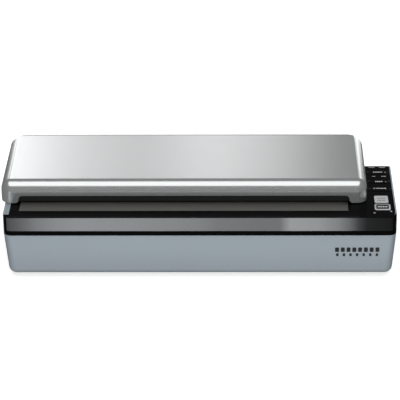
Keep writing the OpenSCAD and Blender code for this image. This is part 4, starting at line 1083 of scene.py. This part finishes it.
@dataclass
class Badge:
    """The printed sign on the tub's front: a row of bold strokes over a row of small ones.

    Attributes:
        rows: Name, number of strokes, share of the width that they cover and drop below the frame's mark.
        draft: How far the wall leans.
        thickness: Thickness of a stroke.
        corner: Rounding of its corners.
    """

    rows: tuple[tuple[str, int, float, float], ...] = (
        ("bold", 8, 0.66, 1.6 * MM), ("small", 7, 0.36, 0.5 * MM),
    )
    draft: float = math.radians(4.7)
    thickness: float = 0.4 * MM
    corner: float = 0.5 * MM

    def build(self) -> list[Piece]:
        """Models one stroke of each row, leans it with the wall and repeats it along the row."""
        boxes = islands("front_badge", 0.3 * MM)
        low, high = whole_box(("front_badge",))
        split = max(box[0].z for box in boxes) - MM
        made = []
        for row, count, fill, drop in self.rows:
            part = [box for box in boxes if (box[0].z > split) == (row == "bold")]
            z0, z1 = min(b[0].z for b in part) - drop, max(b[1].z for b in part) - drop
            back = drop * math.tan(self.draft)
            y0, y1 = min(b[0].y for b in part) + back, max(b[1].y for b in part) + back
            pitch = (high.x - low.x) / count
            x0, x1 = low.x + pitch * (1 - fill) / 2, low.x + pitch * (1 + fill) / 2
            first = Piece.block(f"badge_{row}", (x0, y0, z0), (x1, y1, z1))
            lean = (y1 - y0) - self.thickness
            first.points(lambda p: p.z > z1 - SEAM and p.y > y1 - SEAM, pushing(y=-lean))
            first.points(lambda p: p.z < z0 + SEAM and p.y < y0 + SEAM, pushing(y=lean))
            deep = self.thickness / 2
            first.edges(
                lambda a, b: abs(a.y - b.y) > deep and abs(a.x - b.x) < SEAM, rounding(self.corner, 3)
            )
            made.append(first.repeated(count, (pitch, 0, 0)).smoothed().dressed(MARK, "base", "badge"))
        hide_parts("front_badge")
        return made


@dataclass
class Feet:
    """Four rubber feet with a rounded tread and a shallow hollow underneath."""

    tread: float = 1.0 * MM
    hollow: float = 0.8 * MM
    rim: float = 2.0 * MM
    stem: float = 2.4 * MM

    def build(self) -> list[Piece]:
        """Models one foot with its stem and copies it to the other places."""
        boxes = islands("feet")
        low, high = boxes[0]
        mid = middle(boxes[0])
        tub_bottom = whole_box(TUB_NODES)[0].z
        foot = Piece.rod("foot_0", (mid.x, mid.y, 0.0), (mid.x, mid.y, tub_bottom), (high.x - low.x) / 2, 40)
        foot.edges(lambda a, b: max(a.z, b.z) < SEAM, rounding(self.tread, 4))
        foot.faces(lambda c, n: n.z < -FACING and c.z < SEAM, insetting(self.rim, self.hollow))
        stem = Piece.rod("stem", (mid.x, mid.y, tub_bottom), (mid.x, mid.y, high.z), self.stem, 24)
        foot.grouped(stem).smoothed()
        made = [foot] + [foot.copy(f"foot_{i}", middle(box) - mid) for i, box in enumerate(boxes[1:], 1)]
        for piece in made:
            piece.dressed(RUBBER, "base", "rubber")
        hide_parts("feet")
        return made


@dataclass
class ReleaseGrip:
    """Ribs on a release button, for the thumb."""

    side: Side
    ribs: int = 5
    half: float = 0.5 * MM
    margin: float = 1.2 * MM
    root: float = 0.6 * MM
    proud: float = 0.18 * MM
    soft: float = 0.15 * MM

    def build(self) -> list[Piece]:
        """Models the button from its slide, with ribs grouped on its outer face."""
        name = f"release_{self.side.name.lower()}"
        low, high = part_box(name)
        face = low.x if self.side is Side.LEFT else high.x
        form = Piece.from_node(f"{name}_form", name).softened(0.3 * MM, 2)
        pitch = (high.y - low.y) / (self.ribs + 1)
        inner, outer = sorted((face - self.side.value * self.root, face + self.side.value * self.proud))
        y, z0, z1 = low.y + pitch, low.z + self.margin, high.z - self.margin
        rib = Piece.block(f"{name}_rib", (inner, y - self.half, z0), (outer, y + self.half, z1))
        near = self.root / 2
        rib.edges(lambda a, b: abs(a.z - b.z) > MM and abs(a.x - face) < near, rounding(self.soft, 2))
        rib.repeated(self.ribs, (0, pitch, 0)).smoothed()
        form.dressed(BLACK_PLASTIC, name, "black_plastic", [name])
        return [form, rib.dressed(BLACK_PLASTIC, name, "black_plastic")]


@dataclass
class ReleaseSpring:
    """The wound spring behind a release button."""

    side: Side
    wire: float = 0.4 * MM
    turns: int = 6
    steps: int = 16
    facets: int = 8

    def build(self) -> list[Piece]:
        """Winds the spring, closes its ends and dresses it."""
        name = f"release_spring_{self.side.name.lower()}"
        low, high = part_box(name)
        mid = middle((low, high))
        radius = (high.y - low.y) / 2 - self.wire
        coil = Piece.wound(f"{name}_coil", Vector((low.x + self.wire, mid.y, mid.z)), radius, self.wire,
                           high.x - low.x - 2 * self.wire, self.turns, self.steps, self.facets)
        coil.smoothed(60).dressed(STEEL, "base", "steel", [name])
        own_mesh(coil.obj)
        return [coil]


@dataclass
class TubScrews:
    """Pan-head screws in the wells under the tub, each with a cross recess."""

    slot_half: float = 0.5 * MM
    slot_reach: float = 1.9 * MM
    slot_deep: float = 1.1 * MM

    def build(self) -> list[Piece]:
        """Copies the screws, rounds their heads and cuts the crosses."""
        form = Piece.from_node("base_screws_form", "base_screws")
        crosses = (self.slot_reach, self.slot_half), (self.slot_half, self.slot_reach)
        for i, box in enumerate(islands("base_screws")):
            mid = middle(box)
            bottom, top = box[0].z - MM, box[0].z + self.slot_deep
            for j, (dx, dy) in enumerate(crosses):
                low, high = (mid.x - dx, mid.y - dy, bottom), (mid.x + dx, mid.y + dy, top)
                form.joined(Join.CUT, Piece.block(f"cross_{i}_{j}", low, high))
        return [form.softened(0.2 * MM, 2).dressed(STEEL, "base", "steel", ["base_screws"])]


@dataclass(frozen=True)
class Softbox:
    """A rectangular studio light whose brightness may vary along its width.

    Attributes:
        name: The light's name.
        place: Its middle.
        aim: The point that it faces.
        size: Width and height.
        glow: Brightness at even steps from its left end to its right end, seen from the camera.
        mirrored: True if only reflections see it, False if only plain shading does.
    """

    name: str
    place: tuple[float, float, float]
    aim: tuple[float, float, float]
    size: tuple[float, float]
    glow: tuple[float, ...]
    mirrored: bool

    def build(self) -> None:
        """Adds the light to the scene."""
        turn = (Vector(self.aim) - Vector(self.place)).to_track_quat("-Z", "Y").to_euler()
        bpy.ops.object.light_add(type="AREA", location=self.place, rotation=turn)
        light = bpy.context.active_object
        light.name = self.name
        light.data.shape = "RECTANGLE"
        light.data.size, light.data.size_y = self.size
        light.data.energy = math.pi * self.size[0] * self.size[1]
        light.visible_camera = False
        light.visible_glossy = self.mirrored
        light.visible_diffuse = not self.mirrored
        light.data.use_nodes = True
        tree = light.data.node_tree
        geometry = tree.nodes.new("ShaderNodeNewGeometry")
        split = tree.nodes.new("ShaderNodeSeparateXYZ")
        ramp = tree.nodes.new("ShaderNodeValToRGB")
        tree.links.new(geometry.outputs["Parametric"], split.inputs["Vector"])
        tree.links.new(split.outputs["X"], ramp.inputs["Fac"])
        tree.links.new(ramp.outputs["Color"], tree.nodes["Emission"].inputs["Strength"])
        steps = list(reversed(self.glow)) if len(self.glow) > 1 else list(self.glow) * 2
        while len(ramp.color_ramp.elements) < len(steps):
            ramp.color_ramp.elements.new(0.5)
        for i, (element, glow) in enumerate(zip(ramp.color_ramp.elements, steps)):
            element.position = i / (len(steps) - 1)
            element.color = (glow, glow, glow, 1.0)


@dataclass
class Studio:
    """A pale floor, soft lights and the camera."""

    focal: float = 2139.28
    image: float = 400.0
    sensor: float = 36.0
    place: tuple[float, float, float] = (0.0492, -1.97428, 1.0105)
    turn: tuple[float, float, float] = (64.0734, 0.6052, 1.1048)
    ambient: float = 0.14
    boxes: tuple[Softbox, ...] = (
        Softbox("fill_overhead", (0.0, 0.0, 2.2), (0, 0, 0), (2.6, 2.6), (1.6,), False),
        Softbox("fill_front", (0.0, -2.2, 0.5), (0, 0, 0.05), (3.0, 1.2), (5.0,), False),
        Softbox("fill_back", (0.5, 2.4, 0.9), (0, 0, 0.05), (2.6, 1.2), (2.6,), False),
        Softbox(
            "lid_card", (0.0, 0.62, 0.38), (0.0, 0.01, 0.09), (0.7, 0.22),
            (1.75, 1.45, 0.84, 0.66, 0.98, 0.68, 0.12, 0.05, 0.05), True,
        ),
        Softbox("overhead_strip", (0.0, -0.5, 1.0), (0, -0.5, 0.09), (1.5, 1.1), (1.25,), True),
        Softbox("front_card", (0.0, -0.18, 0.004), (0, -0.17, 0.5), (0.55, 0.16), (0.4,), True),
        Softbox("right_strip", (0.45, 0.95, 0.18), (0.15, 0.0, 0.09), (0.25, 0.5), (1.6,), True),
        Softbox("left_strip", (-0.45, 0.95, 0.18), (-0.18, 0.0, 0.09), (0.25, 0.5), (1.6,), True),
    )

    def build(self) -> None:
        """Sets the floor, the world, the lights and the camera."""
        clear_selection()
        bpy.ops.mesh.primitive_plane_add(size=12.0, location=(0, 0, 0))
        floor = bpy.context.active_object
        floor.name = "floor"
        floor.data.materials.append(FLOOR.material())
        floor.visible_glossy = False
        floor.visible_diffuse = False
        world = bpy.data.worlds.new("studio")
        world.use_nodes = True
        world.node_tree.nodes["Background"].inputs["Color"].default_value = (1, 1, 1, 1)
        world.node_tree.nodes["Background"].inputs["Strength"].default_value = self.ambient
        bpy.context.scene.world = world
        for box in self.boxes:
            box.build()
        bpy.ops.object.camera_add(location=self.place, rotation=[math.radians(a) for a in self.turn])
        camera = bpy.context.active_object
        camera.data.sensor_width = self.sensor
        camera.data.lens = self.focal * self.sensor / self.image
        camera.data.clip_end = 50.0
        bpy.context.scene.camera = camera
        bpy.context.scene.view_settings.view_transform = "Standard"


EDGED = (
    ("channel_tray", BLACK_PLASTIC, "base", "gloss_black", 0.4 * MM, 2),
    # The front trim's finish paints the band's reflections into its colour.
    ("front_trim", STRIP_PAINTED_REFLECTION, "base", "smoked_strip", 0.15 * MM, 1),
    ("sealing_bar_holder", BLACK_PLASTIC, "base", "black_plastic", 0.3 * MM, 2),
    ("lower_gasket", FOAM, "base", "foam", 1.2 * MM, 4),
    ("lid_gasket", FOAM, "lid", "foam", 0.7 * MM, 3),
    ("pressure_strip", SILICONE, "lid", "silicone", 1.0 * MM, 4),
    ("lid_inner", BLACK_PLASTIC, "lid", "black_plastic", 0.4 * MM, 2),
    ("lid_hooks", BLACK_PLASTIC, "lid", "black_plastic", 0.3 * MM, 2),
    ("canister_port", BLACK_PLASTIC, "base", "black_plastic", 0.4 * MM, 3),
    ("power_inlet", BLACK_PLASTIC, "base", "black_plastic", 0.35 * MM, 2),
    ("inlet_pins", STEEL, "base", "steel", 0.4 * MM, 3),
    ("hinge_pins", STEEL, "base", "steel", 0.3 * MM, 2),
    ("lid_screws", STEEL, "lid", "steel", 0.3 * MM, 2),
    ("transformer_core", CORE, "base", "core_steel", 0.3 * MM, 1),
    ("pump_head", PUMP_PLASTIC, "base", "pump_plastic", 0.4 * MM, 2),
    ("pump_crankcase", PUMP_PLASTIC, "base", "pump_plastic", 0.4 * MM, 2),
)
SHOWN = {
    GLOSS_BLACK: ("deck",),
    HEAT_WIRE: ("heating_wire",),
    TAPE: ("release_tape",),
    CIRCUIT: ("control_board", "main_board"),
    COMPONENT: ("tact_switches", "vacuum_switch", "board_parts"),
    BLACK_PLASTIC: ("lid_switch",),
    MOTOR_CAN: ("pump_motor",),
    STEEL: ("pump_shaft", "chassis_screws"),
    PUMP_PLASTIC: ("crankcase_cover", "vent_valve"),
    WHITE_PLASTIC: ("pump_rod",),
    RUBBER: ("pump_diaphragm", "pump_mounts"),
    HOSE: ("suction_hose", "vent_hose", "port_hose"),
    WINDING: ("transformer_coil",),
    INSULATION: ("wiring",),
}


def dress_shown() -> None:
    """Gives every frame node that still shows its finish."""
    finishes = {name: finish for finish, names in SHOWN.items() for name in names}
    for name, node in frame["nodes"].items():
        if node.hide_render:
            continue
        finish = finishes[name].material()
        if not node.material_slots:
            node.data.materials.append(finish)
        for place in node.material_slots:
            place.material = finish


def main() -> None:
    """Builds the sub-assemblies in order and reports each piece."""
    logging.basicConfig(level=logging.INFO, format="%(message)s")
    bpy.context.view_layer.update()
    at = Layout()
    Studio().build()
    carried = [Carried(*row) for row in EDGED]
    makers = [
        LidShell(at), Tub(at), RestPlate(), ControlPanel(), Badge(), Feet(), ReleaseGrip(Side.LEFT),
        ReleaseGrip(Side.RIGHT), ReleaseSpring(Side.LEFT), ReleaseSpring(Side.RIGHT), TubScrews(), *carried,
    ]
    for maker in makers:
        made = maker.build()
        for piece in made if isinstance(made, list) else [made]:
            log.info("%s: %d faces", piece.obj.name, len(piece.obj.data.polygons))
    dress_shown()


if __name__ == "__main__":
    main()
